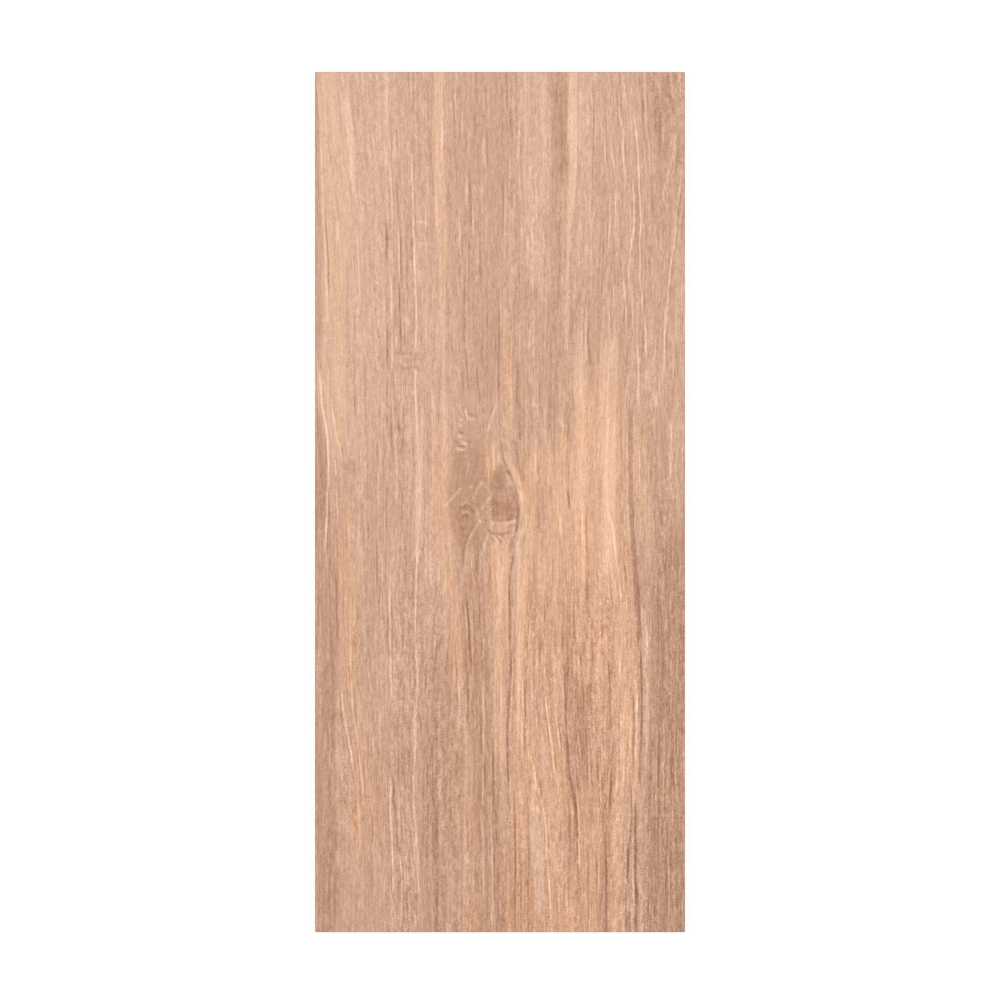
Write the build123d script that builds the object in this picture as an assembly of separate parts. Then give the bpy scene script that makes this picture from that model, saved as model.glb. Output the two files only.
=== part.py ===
"""Rectified wood-effect porcelain plank tile, pressed and fired as one piece.

The tile lies on its back with the printed face up. X runs across the plank, Y along it and Z up from
the rib crests of the back. The origin is the centre of the back, where two ribs cross.
"""

from build123d import *

import os

# Driving dimensions in millimetres, angles in degrees
tile_width = 258.0
tile_length = 600.0
tile_thickness = 9.0  # from the rib crests to the printed face
face_bevel = 0.5  # ground micro-bevel round the printed face
back_bevel = 0.8  # arris round the back
back_margin = 9.0  # plain border from the tile's side to the outermost pockets
pocket_pitch = 24.0  # wanted spacing of the keying pockets, evened out to fill the back
rib_width = 3.0  # rib crest between two neighbouring pockets
pocket_depth = 0.8
pocket_corner = 2.5  # corner cut off a pocket's mouth, measured along each side
pocket_draft = 45.0  # lean of a pocket's walls from the press direction


def ground_blank():
    """The plain plank with square ground sides and both rims bevelled."""
    blank = Box(
        tile_width,
        tile_length,
        tile_thickness,
        align=(Align.CENTER, Align.CENTER, Align.MIN),
    )
    blank = chamfer(blank.faces().sort_by(Axis.Z)[-1].edges(), face_bevel)
    return chamfer(blank.faces().sort_by(Axis.Z)[0].edges(), back_bevel)


def even_count(field):
    """The even number of pockets that fits a field best, so that two ribs cross at the tile's centre."""
    return 2 * max(1, round((field + rib_width) / pocket_pitch / 2))


def keying_pockets():
    """Drafted pockets in an even grid inside the back's border, with ribs left standing between them."""
    field_width = tile_width - 2 * back_margin
    field_length = tile_length - 2 * back_margin
    columns = even_count(field_width)
    rows = even_count(field_length)
    pitch_x = (field_width + rib_width) / columns
    pitch_y = (field_length + rib_width) / rows
    mouth = Rectangle(pitch_x - rib_width, pitch_y - rib_width)
    mouth = chamfer(mouth.vertices(), pocket_corner)
    pocket = extrude(mouth, amount=pocket_depth, taper=pocket_draft)
    return GridLocations(pitch_x, pitch_y, columns, rows) * pocket


porcelain_tile = ground_blank() - keying_pockets()

os.makedirs("parts", exist_ok=True)
export_step(porcelain_tile, "parts/porcelain_tile.step")
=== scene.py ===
"""Looks of a wood-effect porcelain plank tile: printed and embossed face, ground sides and keyed back.

The printed figure is drawn in millimetres on the face: "across" counts from the left side and "down" from
the head, so the grain runs down. Tones are steps of an 8-bit red level, and warmth runs from 0, a pinkish
beige, to 1, a tan.
"""

from collections import namedtuple

import bpy
import numpy as np
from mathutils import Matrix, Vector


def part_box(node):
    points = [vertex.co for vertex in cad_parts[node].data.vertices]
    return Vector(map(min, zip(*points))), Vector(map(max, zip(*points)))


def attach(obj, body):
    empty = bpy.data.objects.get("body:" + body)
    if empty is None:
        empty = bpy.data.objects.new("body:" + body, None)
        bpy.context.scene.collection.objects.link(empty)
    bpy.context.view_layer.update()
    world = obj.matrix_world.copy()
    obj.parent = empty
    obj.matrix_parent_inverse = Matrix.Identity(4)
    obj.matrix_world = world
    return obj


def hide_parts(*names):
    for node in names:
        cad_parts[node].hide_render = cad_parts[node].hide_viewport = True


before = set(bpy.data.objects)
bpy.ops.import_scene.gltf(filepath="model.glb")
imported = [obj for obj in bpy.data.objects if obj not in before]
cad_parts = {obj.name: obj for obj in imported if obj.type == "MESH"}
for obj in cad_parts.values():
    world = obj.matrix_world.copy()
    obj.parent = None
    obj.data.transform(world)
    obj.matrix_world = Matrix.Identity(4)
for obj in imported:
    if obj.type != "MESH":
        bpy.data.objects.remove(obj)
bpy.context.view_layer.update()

NODE = "porcelain_tile"
MM = 0.001

# How the photograph frames the tile, in pixels of its 1000 by 1000 frame
PHOTO_SIDE = 1000.0
PHOTO_TILE_LENGTH = 860.2
PHOTO_TILE_CENTRE_DOWN = 502.1

# Marks of the figure, each with the tone and the warmth it adds and the points it runs through: a strip with the
# width of its soft sides and the length of its soft ends, a hairline that runs down, and a stroke that runs any way
Strip = namedtuple("Strip", "tone warmth edge fade path")
Line = namedtuple("Line", "tone reach path")
Stroke = namedtuple("Stroke", "tone warmth reach path")

# Lines of the grain, from the left side to the right, each with the bends it makes on its way down
GRAIN_LINES = (
    ((-30, 0), (-30, 600)),
    ((-8, 0), (-3, 75), (1, 150), (3, 225), (6, 300), (7, 375), (6, 450), (6, 525), (4, 600)),
    ((9, 0), (13, 75), (15, 150), (15, 225), (20, 300), (22, 375), (26, 450), (30, 525), (31, 600)),
    ((17, 0), (27, 75), (31, 150), (33, 225), (36, 300), (37, 375), (39, 450), (42, 525), (43, 600)),
    ((50, 0), (51, 75), (53, 150), (54.5, 225), (55, 300), (53, 375), (53, 450), (53.5, 525), (54, 600)),
    ((67, 0), (68, 75), (70, 150), (71, 225), (72.5, 290), (70, 375), (70, 450), (70, 525), (73, 600)),
    ((86, 0), (87, 75), (88.5, 150), (88.5, 225), (89, 300), (91, 375), (85, 450), (83.5, 525), (85, 600)),
    ((99, 0), (100, 75), (101, 150), (104, 225), (106, 262), (99, 300), (101, 345), (105, 390), (108, 450),
     (107, 525), (106, 600)),
    ((120, 0), (120, 150), (121, 225), (122, 262), (118, 300), (121, 345), (122, 390), (123, 450), (125, 525),
     (126, 600)),
    ((132, 0), (130, 150), (129.5, 225), (131, 262), (138, 285), (143, 300), (142, 320), (138, 345), (136.5, 390),
     (135, 450), (139, 525), (140, 600)),
    ((146, 0), (146, 262), (147.5, 300), (148, 330), (147, 375), (147, 450), (150, 500), (152, 600)),
    ((162, 0), (163, 75), (162, 150), (161, 225), (162, 375), (160, 430), (165, 480), (167, 525), (168, 600)),
    ((180, 0), (179, 75), (176, 150), (175, 300), (174, 375), (175, 450), (180, 505), (184, 545), (184, 600)),
    ((195, 0), (195, 75), (193, 150), (190, 225), (190, 375), (189, 440), (193, 500), (192, 550), (191, 600)),
    ((205, 0), (209, 75), (208, 150), (205, 225), (204, 300), (212, 375), (212, 425), (207, 490), (203, 550),
     (203, 600)),
    ((222, 0), (226, 65), (227, 140), (224.5, 200), (220, 255), (222, 325), (227, 390), (228.5, 440), (225, 520),
     (224, 600)),
    ((233, 0), (238, 60), (239, 150), (238, 225), (236, 300), (237, 375), (238, 450), (238, 600)),
    ((262, 0), (256, 60), (249, 140), (244, 210), (247, 280), (248, 375), (248, 600)),
    ((275, 0), (268, 75), (262, 150), (258, 225), (258, 600)),
    ((300, 0), (300, 600)),
)

# Broad tone at places down the tile, darker towards the foot
BASE_TONE_DOWN = ((0, 217), (150, 215), (300, 213), (450, 211), (600, 209))

# Strips of lighter, darker or warmer wood; each point gives the left side, the right side and the place down
STRIPS = (
    # paler wood of the upper left, its tan streak and the shade along the left side
    Strip(+8, 0.0, 16, 60, ((-30, 62, -60), (-30, 60, 60), (-30, 52, 150), (-30, 46, 230), (-30, 38, 308))),
    Strip(+4, 0.0, 10, 60, ((60, 84, 40), (62, 86, 110), (64, 86, 200), (66, 84, 290), (66, 80, 360))),
    Strip(+9, 0.5, 6, 25, ((3, 14, -40), (3, 18, 30), (5, 22, 70), (7, 22, 110), (8, 20, 160), (8.5, 22, 210),
                            (10, 21.5, 240), (13, 18, 272))),
    Strip(+4, 0.2, 4, 25, ((16, 24, -10), (18, 27, 35), (20, 29, 70), (19, 24, 110), (17, 22, 240))),
    Strip(+15, 0.1, 2, 8, ((18, 22, 12), (20.5, 25, 34), (22.5, 27.5, 52), (23.5, 28.5, 64), (25, 28.5, 78))),
    Strip(-15, -0.1, 4, 30, ((-20, 3, -40), (-20, 3, 60), (-20, 4, 120), (-20, 5, 165), (-20, 2, 215))),
    Strip(-20, 0.0, 4, 18, ((-20, 1, 225), (-20, 4, 245), (-20, 8, 268), (-20, 9, 300), (-20, 9, 326))),
    Strip(-13, 0.0, 5, 30, ((-20, 12, 308), (-20, 14.5, 350), (-20, 16.5, 390), (-20, 15, 440), (-20, 12, 480),
                            (-20, 16, 540), (-20, 19, 660))),
    # tan streak on the left of the middle stretch, and the end of it lower down
    Strip(+8, 0.75, 4, 14, ((20, 27, 294), (18, 28.5, 320), (15, 28, 346), (18, 29, 380), (18, 30, 412),
                            (20, 30, 438))),
    Strip(+4, 0.5, 5, 24, ((17, 30, 425), (22, 40, 460), (25, 45, 492), (24, 44, 560))),
    Strip(+6, 0.7, 3, 6, ((23.5, 29.5, 503), (23.5, 29.5, 520), (23.5, 29.5, 534))),
    Strip(+13, 0.1, 2, 12, ((70.4, 74.4, 240), (70.6, 75.6, 266), (70.4, 75.4, 300), (69.6, 73.6, 352))),
    # pale band with its tan streak, left of the middle
    Strip(+17, 0.35, 3, 30, ((83, 91, -40), (83, 91, 60), (84.5, 92, 110), (86, 91.5, 150), (87, 91.5, 220),
                            (87, 91.5, 265))),
    Strip(+2, 0.6, 3, 6, ((84, 88.5, 14), (83.5, 88.5, 45), (84.5, 90.5, 66))),
    Strip(+2, 0.6, 3, 10, ((86, 92, 80), (86, 90.5, 120), (88, 91, 165))),
    Strip(+12, 0.65, 4, 20, ((83, 92, 238), (82, 94, 270), (82, 94, 300), (84, 96, 335), (88, 97, 375))),
    # paler wood right of the middle, the shade beside it and the bright streak
    Strip(+10, 0.0, 6, 40, ((141, 163, -60), (142, 163, 40), (144, 164, 90), (148, 163, 120), (152, 162, 165))),
    Strip(-8, 0.0, 5, 40, ((164, 177, -60), (164, 176, 60), (164, 174, 110), (163, 172, 160), (162, 171, 215),
                           (163, 168, 268))),
    Strip(-5, 0.0, 3, 14, ((169, 175.5, -10), (169.5, 175.5, 45), (168, 173.5, 85))),
    Strip(+25, 0.5, 1.6, 24, ((178, 183, -40), (177.5, 183.5, 30), (176, 182.5, 66), (175.3, 179, 110),
                            (174.8, 177.5, 150), (173, 175.5, 200))),
    Strip(+10, 0.1, 4, 40, ((183, 196, -60), (183, 195.5, 60), (181, 194.5, 110), (180, 192, 152))),
    Strip(+6, 0.0, 3, 12, ((47.5, 52, 50), (48, 52.5, 75), (49, 53, 100))),
    Strip(+4, 0.0, 3, 30, ((92.5, 99, 110), (93, 100, 180), (94, 100, 262))),
    Strip(+4, 0.0, 5, 30, ((196, 210, -40), (197, 211, 30), (198, 212, 75))),
    Strip(-4, 0.0, 5, 20, ((101, 112, 82), (102, 112, 110), (103, 111, 140))),
    Strip(+4, 0.0, 4, 16, ((72, 83, 300), (72, 83, 332), (73, 83, 366))),
    # greyer wood of the middle, above the knot
    Strip(-3, 0.0, 8, 40, ((94, 141, -60), (95, 140, 60), (98, 131, 110), (99, 130, 200), (100, 128, 262))),
    Strip(-3, 0.0, 6, 25, ((115, 129, 150), (114, 130, 185), (112, 128, 232))),
    Strip(+9, 0.6, 4, 22, ((131, 136.5, 155), (130.5, 137.5, 190), (131, 137.5, 240), (132, 136, 268))),
    Strip(-6, 0.0, 5, 25, ((137.5, 147, 115), (137, 146, 180), (138, 145, 225), (140, 145, 265), (144, 146, 290))),
    Strip(-4, 0.0, 6, 20, ((172, 182, 145), (173, 182, 165), (176, 182, 195))),
    Strip(-4, 0.0, 5, 25, ((191, 200, 120), (190, 199, 180), (190, 197, 225))),
    Strip(-5, 0.0, 8, 40, ((226, 290, -60), (230, 290, 40), (238, 290, 110), (248, 290, 140))),
    Strip(-5, 0.0, 6, 18, ((236, 252, -40), (236, 250, 10), (237, 246, 50))),
    Strip(-2, 0.0, 8, 30, ((207, 234, 95), (209, 232, 130), (212, 230, 170), (214, 228, 235))),
    # warm wood on the right of the lower half, with the fingers that lead into it
    Strip(+9, 0.85, 5, 30, ((181, 214, 208), (181, 216, 238), (181, 219, 290), (181, 220, 330), (181, 222, 360),
                            (181, 225, 400), (181, 226, 440), (181, 225, 480), (181, 221, 525), (181, 217, 570),
                            (181, 217, 680))),
    Strip(+9, 0.85, 5, 30, ((145, 181, 246), (144, 181, 280), (145, 181, 330), (140, 181, 360), (139, 181, 400),
                            (137, 181, 440), (136, 181, 480), (134, 181, 525), (132, 181, 570), (132, 181, 680))),
    Strip(+6, 0.1, 5, 34, ((181, 211, 207), (181, 211, 245), (181, 212, 274), (181, 212, 320), (181, 211, 354))),
    Strip(+6, 0.1, 5, 34, ((145, 181, 248), (145, 181, 280), (146, 181, 320), (150, 181, 365))),
    Strip(+11, 0.3, 3, 18, ((182, 190, 176), (181.5, 190, 210), (182, 190, 260), (181.5, 189.5, 300),
                            (181.5, 189, 345), (182, 188, 366))),
    Strip(+8, 0.2, 2, 12, ((182.5, 190, 198), (182, 190, 215), (182, 190, 238))),
    Strip(+15, 0.5, 2.5, 18, ((203, 209.5, 166), (201, 211, 190), (198.5, 211, 225), (198.5, 210, 265),
                            (200, 209, 300), (201, 211, 340), (205, 212, 374))),
    Strip(+7, 0.5, 2.5, 30, ((170, 175, 196), (169, 175, 230), (169, 175, 255), (168, 176, 290))),
    Strip(+7, 0.3, 3, 14, ((145.5, 150, 236), (145.5, 150, 258), (146, 151, 290))),
    Strip(+7, 0.3, 4, 14, ((166, 174, 276), (166, 175, 300), (167, 174, 328))),
    Strip(-11, -0.4, 3, 12, ((154, 160, 284), (154, 161, 300), (154, 161.5, 348))),
    Strip(+10, 0.6, 4, 18, ((223, 228, 226), (224, 229.5, 260), (225, 232, 290), (226, 233, 315), (229, 233, 338))),
    Strip(+7, 0.5, 3, 16, ((245, 250, 216), (245, 250, 250), (245.5, 249, 280), (246, 248.5, 305))),
    Strip(+10, 0.95, 4, 10, ((118.5, 127.5, 250), (117, 128.5, 266), (119, 125, 286))),
    Strip(+14, 0.8, 3, 10, ((123, 136, 320), (120.5, 135.5, 338), (125.5, 134, 400), (124.5, 133.5, 430), (125, 133, 470),
                            (129, 134, 490))),
    Strip(+8, 0.3, 3, 12, ((124.5, 136, 321), (125, 136, 340), (126.5, 134.5, 374))),
    Strip(-8, 0.1, 2, 14, ((134.5, 137.2, 358), (134.5, 137.8, 400), (133.5, 136.8, 450), (133.5, 136.5, 502))),
    Strip(-9, -0.1, 5, 20, ((172, 181, 360), (172, 182, 390), (172, 182, 430))),
    Strip(+15, 0.2, 2.5, 16, ((139.5, 146.5, 318), (138.8, 147, 345), (139.5, 146, 400), (140, 145.5, 440),
                             (140.5, 144.5, 480))),
    Strip(-8, 0.0, 6, 20, ((223, 245, 238), (232, 246, 262), (233, 246, 320))),
    Strip(-18, 0.05, 6, 50, ((240, 290, 292), (237, 290, 322), (235, 290, 350), (235, 290, 420), (235, 290, 450),
                             (233, 290, 480), (232, 290, 520), (231, 290, 700))),
    Strip(-9, -0.3, 3, 16, ((218, 229, 318), (220, 230, 350), (223, 232, 385), (225, 231, 410))),
    Strip(+9, 0.6, 2, 16, ((229.5, 232.5, 372), (230, 233, 405), (230.5, 233.5, 450), (229.5, 233, 492))),
    Strip(+8, 0.0, 5, 24, ((209, 217, 355), (210, 218, 400), (211, 218, 450), (208, 217, 500), (206, 216, 540),
                           (206, 216, 680))),
    # shaded strips among the warm wood
    Strip(-6, -0.1, 5, 20, ((156, 166, 362), (156, 168, 392), (154, 166, 420), (153, 163, 464))),
    Strip(-8, 0.0, 8, 40, ((74, 105, 385), (75, 104, 450), (74, 104, 520), (74, 104, 700))),
    Strip(-6, 0.0, 4, 20, ((82, 87.5, 392), (81, 86, 440), (81, 85.5, 500), (82, 86, 560), (82.5, 87, 680))),
    Strip(+7, 0.65, 4, 20, ((92, 100, 350), (94, 103.5, 420), (101, 105, 456), (103, 108, 490), (104, 108, 530),
                            (103, 111, 560), (103, 111, 680))),
    Strip(-10, 0.3, 4, 20, ((103, 122, 330), (102, 121, 380), (105, 119, 440), (110, 121, 480), (111, 122, 540),
                           (112, 122, 680))),
    Strip(-12, 0.1, 3.5, 20, ((119, 125, 405), (119, 124.5, 450), (121, 126, 490), (122.5, 129, 530),
                              (124.5, 131, 560), (126, 132, 680))),
    Strip(-16, -0.5, 3, 20, ((173.5, 178.5, 404), (174, 184, 436), (174.5, 188, 468), (175, 186, 500),
                             (175.5, 184.5, 530), (176, 183.5, 560))),
    Strip(-18, -0.2, 5, 14, ((184, 194, 420), (184, 197, 445), (185, 197, 470), (187, 196, 508))),
    Strip(-16, -0.4, 3, 14, ((199, 207, 445), (199.5, 208, 490), (199.5, 207, 510), (201, 206, 540),
                             (198, 207, 570), (197, 208, 680))),
    Strip(-2, -0.6, 3, 9, ((150, 156, 420), (150.5, 156.5, 440), (150, 154, 460))),
    Strip(+1, -0.6, 3, 10, ((156, 161, 452), (156, 162.5, 475), (157, 161, 495))),
    Strip(+6, -0.7, 3, 16, ((150, 157, 507), (150, 159, 530), (151.5, 160, 560), (155, 160, 592))),
    Strip(+7, 0.1, 4, 14, ((162, 172, 490), (162, 172, 520), (164, 174, 545), (165, 176, 575))),
    Strip(-9, -0.1, 5, 24, ((134, 152, 528), (135, 151, 560), (134, 151, 680))),
    Strip(+5, 0.2, 5, 14, ((169, 184, 558), (170, 184, 585), (170, 184, 680))),
    Strip(-6, -0.5, 3, 12, ((165, 170, 545), (165.5, 170, 580), (166, 171, 680))),
    Strip(-9, -0.5, 4, 14, ((217, 223.5, 500), (217, 225.5, 535), (218, 226.5, 560), (218, 227, 680))),
    Strip(-7, -0.4, 3, 14, ((225, 229, 405), (225.5, 229.5, 440), (225.5, 229, 480), (224, 229, 520))),
)

# Hairlines and streaks that run with the grain: grain of the print, and where a pale line lies beside a dark one,
# partly a painted highlight and painted shade on the emboss's ridges
LINES = (
    # upper left
    Line(+10, 1.0, ((27.5, 76), (29, 88), (30, 96))),
    Line(+10, 0.9, ((29.5, 110), (30.5, 128), (32, 165))),
    Line(+8, 1.2, ((4.5, 45), (5.5, 75), (6, 100), (7, 118), (8, 145), (9, 178))),
    Line(-13, 0.9, ((7.2, 90), (8, 112), (9.5, 130), (10.5, 160))),
    Line(-10, 0.8, ((10, 50), (12, 68))),
    Line(-10, 0.8, ((13.5, 76), (15, 88), (17, 100))),
    Line(+8, 1.4, ((15, 98), (16, 112), (16, 124))),
    Line(-8, 0.9, ((30, 15), (30.5, 36))),
    Line(-8, 1.0, ((38, 36), (40, 55))),
    Line(+8, 0.9, ((33, -6), (34, 18))),
    Line(+6, 1.8, ((49.5, -20), (50, 20), (50, 48))),
    Line(+11, 1.4, ((50, 52), (50.5, 62), (50.5, 70))),
    Line(-13, 1.0, ((54, 44), (54, 56))),
    Line(-11, 0.8, ((57, 36), (58, 60))),
    Line(-11, 0.8, ((57.5, 70), (58.5, 108))),
    Line(+11, 0.9, ((53, 70), (54, 84), (54.5, 104))),
    Line(-11, 0.8, ((52.3, 74), (52.5, 98))),
    Line(-22, 1.1, ((50, 104), (50.5, 114), (50, 130))),
    Line(-18, 0.8, ((59.8, 112), (60.3, 130), (60.5, 152))),
    Line(+14, 0.8, ((58.5, 106), (59, 124), (59.3, 146))),
    Line(+9, 0.9, ((67.3, -10), (67.5, 26))),
    Line(+13, 0.9, ((67.5, 54), (68, 76), (68.6, 100))),
    Line(+19, 1.0, ((68.8, 98), (69.4, 118), (70.2, 140), (70.6, 170), (70.6, 198))),
    Line(-11, 0.7, ((67.4, 100), (67.9, 126))),
    Line(+9, 0.8, ((78, 74), (78.3, 90))),
    Line(-4, 1.6, ((81.5, -20), (82, 40), (82.5, 90))),
    Line(+9, 0.9, ((42, 126), (42.3, 146))),
    # upper middle
    Line(+12, 1.2, ((89.3, 22), (89.3, 45), (89, 66))),
    Line(+10, 1.1, ((84.5, 84), (85, 100), (86, 116))),
    Line(-14, 0.9, ((97, 16), (97.6, 40), (97.6, 66))),
    Line(-9, 0.9, ((111.5, 24), (112, 50))),
    Line(-11, 0.9, ((120.5, 38), (120.5, 70))),
    Line(-13, 1.0, ((133.3, -10), (134, 14), (134.3, 28))),
    Line(-12, 0.9, ((136.4, 20), (137, 46))),
    Line(-9, 0.9, ((141, 14), (141, 48))),
    Line(-10, 0.9, ((131, 68), (131.3, 92), (131.5, 116))),
    Line(-11, 1.1, ((108, 70), (109, 96), (109, 112))),
    Line(-13, 0.9, ((107, 124), (107.8, 146))),
    Line(-10, 0.9, ((115, 120), (115.3, 144))),
    Line(-10, 0.9, ((100, 118), (101, 148))),
    Line(+10, 0.9, ((105, 4), (104.2, 24))),
    Line(+9, 0.9, ((99, -8), (98.6, 12), (98.8, 34))),
    Line(+9, 0.9, ((102.5, 24), (103, 50))),
    Line(+10, 0.9, ((110.3, -10), (110, 18))),
    Line(+10, 0.9, ((107.8, 36), (108, 62))),
    Line(+10, 0.9, ((117.6, 8), (118, 32))),
    Line(+10, 0.9, ((117.6, 40), (118, 66))),
    Line(+11, 1.0, ((139, 4), (138.5, 36))),
    Line(+9, 1.0, ((143, 30), (142.2, 66), (144.3, 98), (145, 122))),
    Line(+13, 0.8, ((110.6, 90), (110.5, 116))),
    Line(+8, 0.9, ((116.5, 64), (117, 100))),
    Line(+10, 0.9, ((133, 74), (132.5, 104), (132.5, 132))),
    Line(+10, 0.9, ((106.6, 54), (106, 88), (105, 100))),
    Line(+11, 0.8, ((107, 122), (106.6, 146))),
    Line(+10, 0.8, ((114, 124), (113.6, 146))),
    Line(+9, 0.9, ((101.2, 98), (101, 126))),
    Line(+12, 0.9, ((159.5, 106), (160, 126))),
    Line(+5, 1.3, ((148.6, 24), (147.5, 50))),
    Line(+8, 1.1, ((154.5, 74), (155, 106))),
    Line(+9, 1.0, ((148, 112), (149, 136))),
    Line(-12, 1.1, ((104.7, 140), (104.5, 170), (104.6, 194))),
    Line(+10, 0.8, ((103.3, 130), (103.2, 165))),
    # dark streak, bright streak and hairlines of the upper right
    Line(-5, 1.4, ((172, 8), (171.5, 50))),
    Line(-10, 0.8, ((183.8, -10), (184, 30), (183.4, 66))),
    Line(+9, 0.9, ((184.8, 8), (184.6, 60))),
    Line(-11, 0.9, ((195, 2), (195, 34), (194, 62), (193.4, 100))),
    Line(+9, 0.9, ((190.5, 14), (190.3, 44))),
    Line(+9, 0.9, ((192.6, 92), (192.3, 154))),
    Line(+8, 0.9, ((189, 78), (189, 146))),
    Line(+9, 0.9, ((211, -10), (211, 14))),
    Line(+12, 0.9, ((205.4, 2), (206, 24), (207.5, 38))),
    Line(+18, 1.0, ((211.6, 24), (213.8, 33), (215.4, 39), (215.2, 48), (215.6, 60), (216, 74))),
    Line(+12, 0.9, ((215.8, 6), (217, 20), (218.6, 30), (219.2, 44))),
    Line(+10, 0.8, ((220.8, 6), (221.6, 22))),
    Line(+11, 0.8, ((224.8, 6), (227, 22))),
    Line(+20, 0.95, ((222.6, 24), (224.4, 44), (225.5, 58), (226.2, 72), (226.8, 90), (227.6, 104), (226.9, 120),
                     (227.4, 132), (226.8, 142), (228.3, 155), (229, 170))),
    Line(+12, 0.9, ((203, 44), (202.4, 54), (203, 68))),
    Line(+14, 0.9, ((206.3, 42), (207.4, 54), (209, 66), (210.6, 78))),
    Line(+20, 1.0, ((210.6, 78), (210, 92), (210, 104))),
    Line(+10, 0.9, ((204.8, 76), (206, 98))),
    Line(+13, 0.9, ((205.6, 98), (205.6, 112), (204.2, 130))),
    Line(+12, 0.9, ((209.6, 100), (209, 118))),
    Line(+11, 0.9, ((217.2, 66), (216, 84))),
    Line(+11, 0.8, ((220, 50), (220.6, 66))),
    Line(+18, 0.9, ((221.3, 70), (222.5, 90), (223, 105), (221.6, 116), (220.2, 127), (219, 138), (220.6, 152))),
    Line(+11, 1.0, ((229.6, -10), (231, 28), (232, 50))),
    Line(+13, 0.9, ((233, 48), (234.2, 72))),
    Line(+12, 0.9, ((243.2, 30), (243.6, 44), (242.8, 54))),
    Line(+16, 0.9, ((251.8, 40), (250.4, 56), (248, 66), (246, 75), (243.4, 85), (240, 98))),
    Line(+17, 0.9, ((256.6, 64), (254.6, 82), (252.6, 95), (251.6, 110), (250.4, 123), (248.6, 134), (247, 150))),
    Line(+10, 0.9, ((253.6, -10), (255.6, 20))),
    Line(-9, 1.2, ((236, -10), (237.2, 20), (238.4, 50))),
    Line(-9, 1.3, ((246, -10), (247.2, 10), (249.2, 26))),
    Line(-10, 1.2, ((240.4, 24), (241, 64))),
    Line(-11, 1.0, ((228.6, 14), (229, 42))),
    Line(-6, 1.4, ((236, 78), (237, 116))),
    # middle of the left half
    Line(+18, 1.2, ((3.4, 206), (4.6, 226), (6.2, 238), (8.2, 250), (9.6, 262), (9.4, 278), (8.8, 300), (8, 322),
                    (7.5, 336))),
    Line(-12, 0.9, ((10.2, 290), (9.4, 318), (9, 336))),
    Line(+12, 0.9, ((7.4, 330), (8.6, 346), (9.8, 358))),
    Line(+12, 0.9, ((11, 224), (13, 240), (15, 252), (17, 261), (19.4, 274))),
    Line(+9, 0.9, ((12.8, 258), (14.4, 284))),
    Line(-10, 0.9, ((10.4, 198), (11.6, 238))),
    Line(-8, 0.9, ((28, 166), (28.3, 244))),
    Line(-9, 0.9, ((35.5, 196), (35.6, 248))),
    Line(+8, 0.9, ((42.4, 174), (42.6, 206))),
    Line(-8, 1.5, ((50.6, 172), (51, 206))),
    Line(-12, 0.9, ((50.4, 212), (50.5, 250))),
    Line(+14, 1.1, ((52.4, 136), (53.4, 156), (53.8, 178))),
    Line(-17, 0.9, ((58.6, 142), (59.6, 170), (60, 200))),
    Line(+15, 1.0, ((54.2, 176), (54.2, 210))),
    Line(+11, 0.9, ((55.8, 206), (58.2, 226))),
    Line(-15, 0.9, ((61.6, 230), (62.4, 248))),
    Line(-11, 0.9, ((62, 246), (61.2, 266))),
    Line(+17, 1.1, ((70.5, 204), (70.6, 222), (71, 236), (71.6, 252))),
    Line(+6, 1.4, ((71.7, 244), (72.6, 264), (73, 282), (72.6, 300), (72, 320), (71.5, 344))),
    Line(+15, 1.0, ((71.4, 330), (70.8, 355), (70.2, 378), (70, 396))),
    Line(-11, 0.7, ((69, 340), (68.6, 380))),
    Line(+14, 1.4, ((70.2, 392), (71.2, 408), (71.6, 425), (71.2, 440))),
    Line(+11, 0.9, ((54, 216), (54.6, 250))),
    Line(+12, 1.0, ((55.6, 248), (57, 268), (57.2, 304))),
    Line(-11, 0.9, ((53.4, 234), (53.6, 266))),
    Line(-10, 0.9, ((48, 236), (48.3, 296))),
    Line(-9, 0.9, ((44, 246), (44, 274))),
    Line(+11, 0.9, ((44, 276), (44.6, 306))),
    Line(-11, 0.9, ((50.5, 284), (50.6, 324))),
    Line(-12, 0.9, ((60.4, 284), (61.6, 318))),
    Line(-12, 0.9, ((43.4, 322), (43.6, 364))),
    Line(+9, 0.9, ((46.5, 334), (47, 358))),
    Line(-14, 0.9, ((47.6, 360), (48, 388))),
    Line(+9, 0.9, ((15, 290), (16, 306))),
    Line(+10, 0.9, ((25.6, 364), (25, 390), (25.6, 424))),
    Line(-11, 0.9, ((19.4, 344), (20.6, 380))),
    Line(-11, 1.2, ((14.8, 352), (16, 400))),
    Line(+17, 1.1, ((52.6, 356), (52.5, 384), (52.8, 408))),
    Line(-12, 0.8, ((51, 362), (50.8, 406))),
    Line(+11, 0.8, ((55, 352), (55.2, 380))),
    Line(+13, 0.8, ((57, 374), (57.2, 396))),
    Line(+12, 0.8, ((59, 374), (60.4, 406))),
    Line(+16, 1.1, ((52.8, 404), (53.2, 424), (54, 440))),
    Line(+11, 0.8, ((36.4, 404), (37.6, 426))),
    # lower left
    Line(+19, 1.0, ((18.2, 430), (20.8, 452), (24, 468), (26, 479), (28.6, 494))),
    Line(-13, 0.8, ((16, 424), (19.4, 450), (22.6, 467), (26, 486))),
    Line(+17, 1.0, ((25.4, 420), (26.6, 442), (28.6, 459), (31, 476), (33, 492), (34.4, 510))),
    Line(-11, 0.8, ((27, 446), (29.4, 470), (31.4, 486))),
    Line(+10, 1.0, ((29.8, 498), (31, 516), (32, 548))),
    Line(+10, 1.0, ((3.8, 446), (3, 466), (2.4, 492))),
    Line(-10, 0.9, ((11, 452), (13, 476))),
    Line(+10, 0.8, ((10.6, 458), (9.6, 492))),
    Line(-12, 0.8, ((58, 478), (59, 504))),
    Line(-16, 0.9, ((54.8, 488), (55.2, 516))),
    Line(-14, 0.8, ((56.6, 500), (57, 528), (58.4, 544))),
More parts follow.
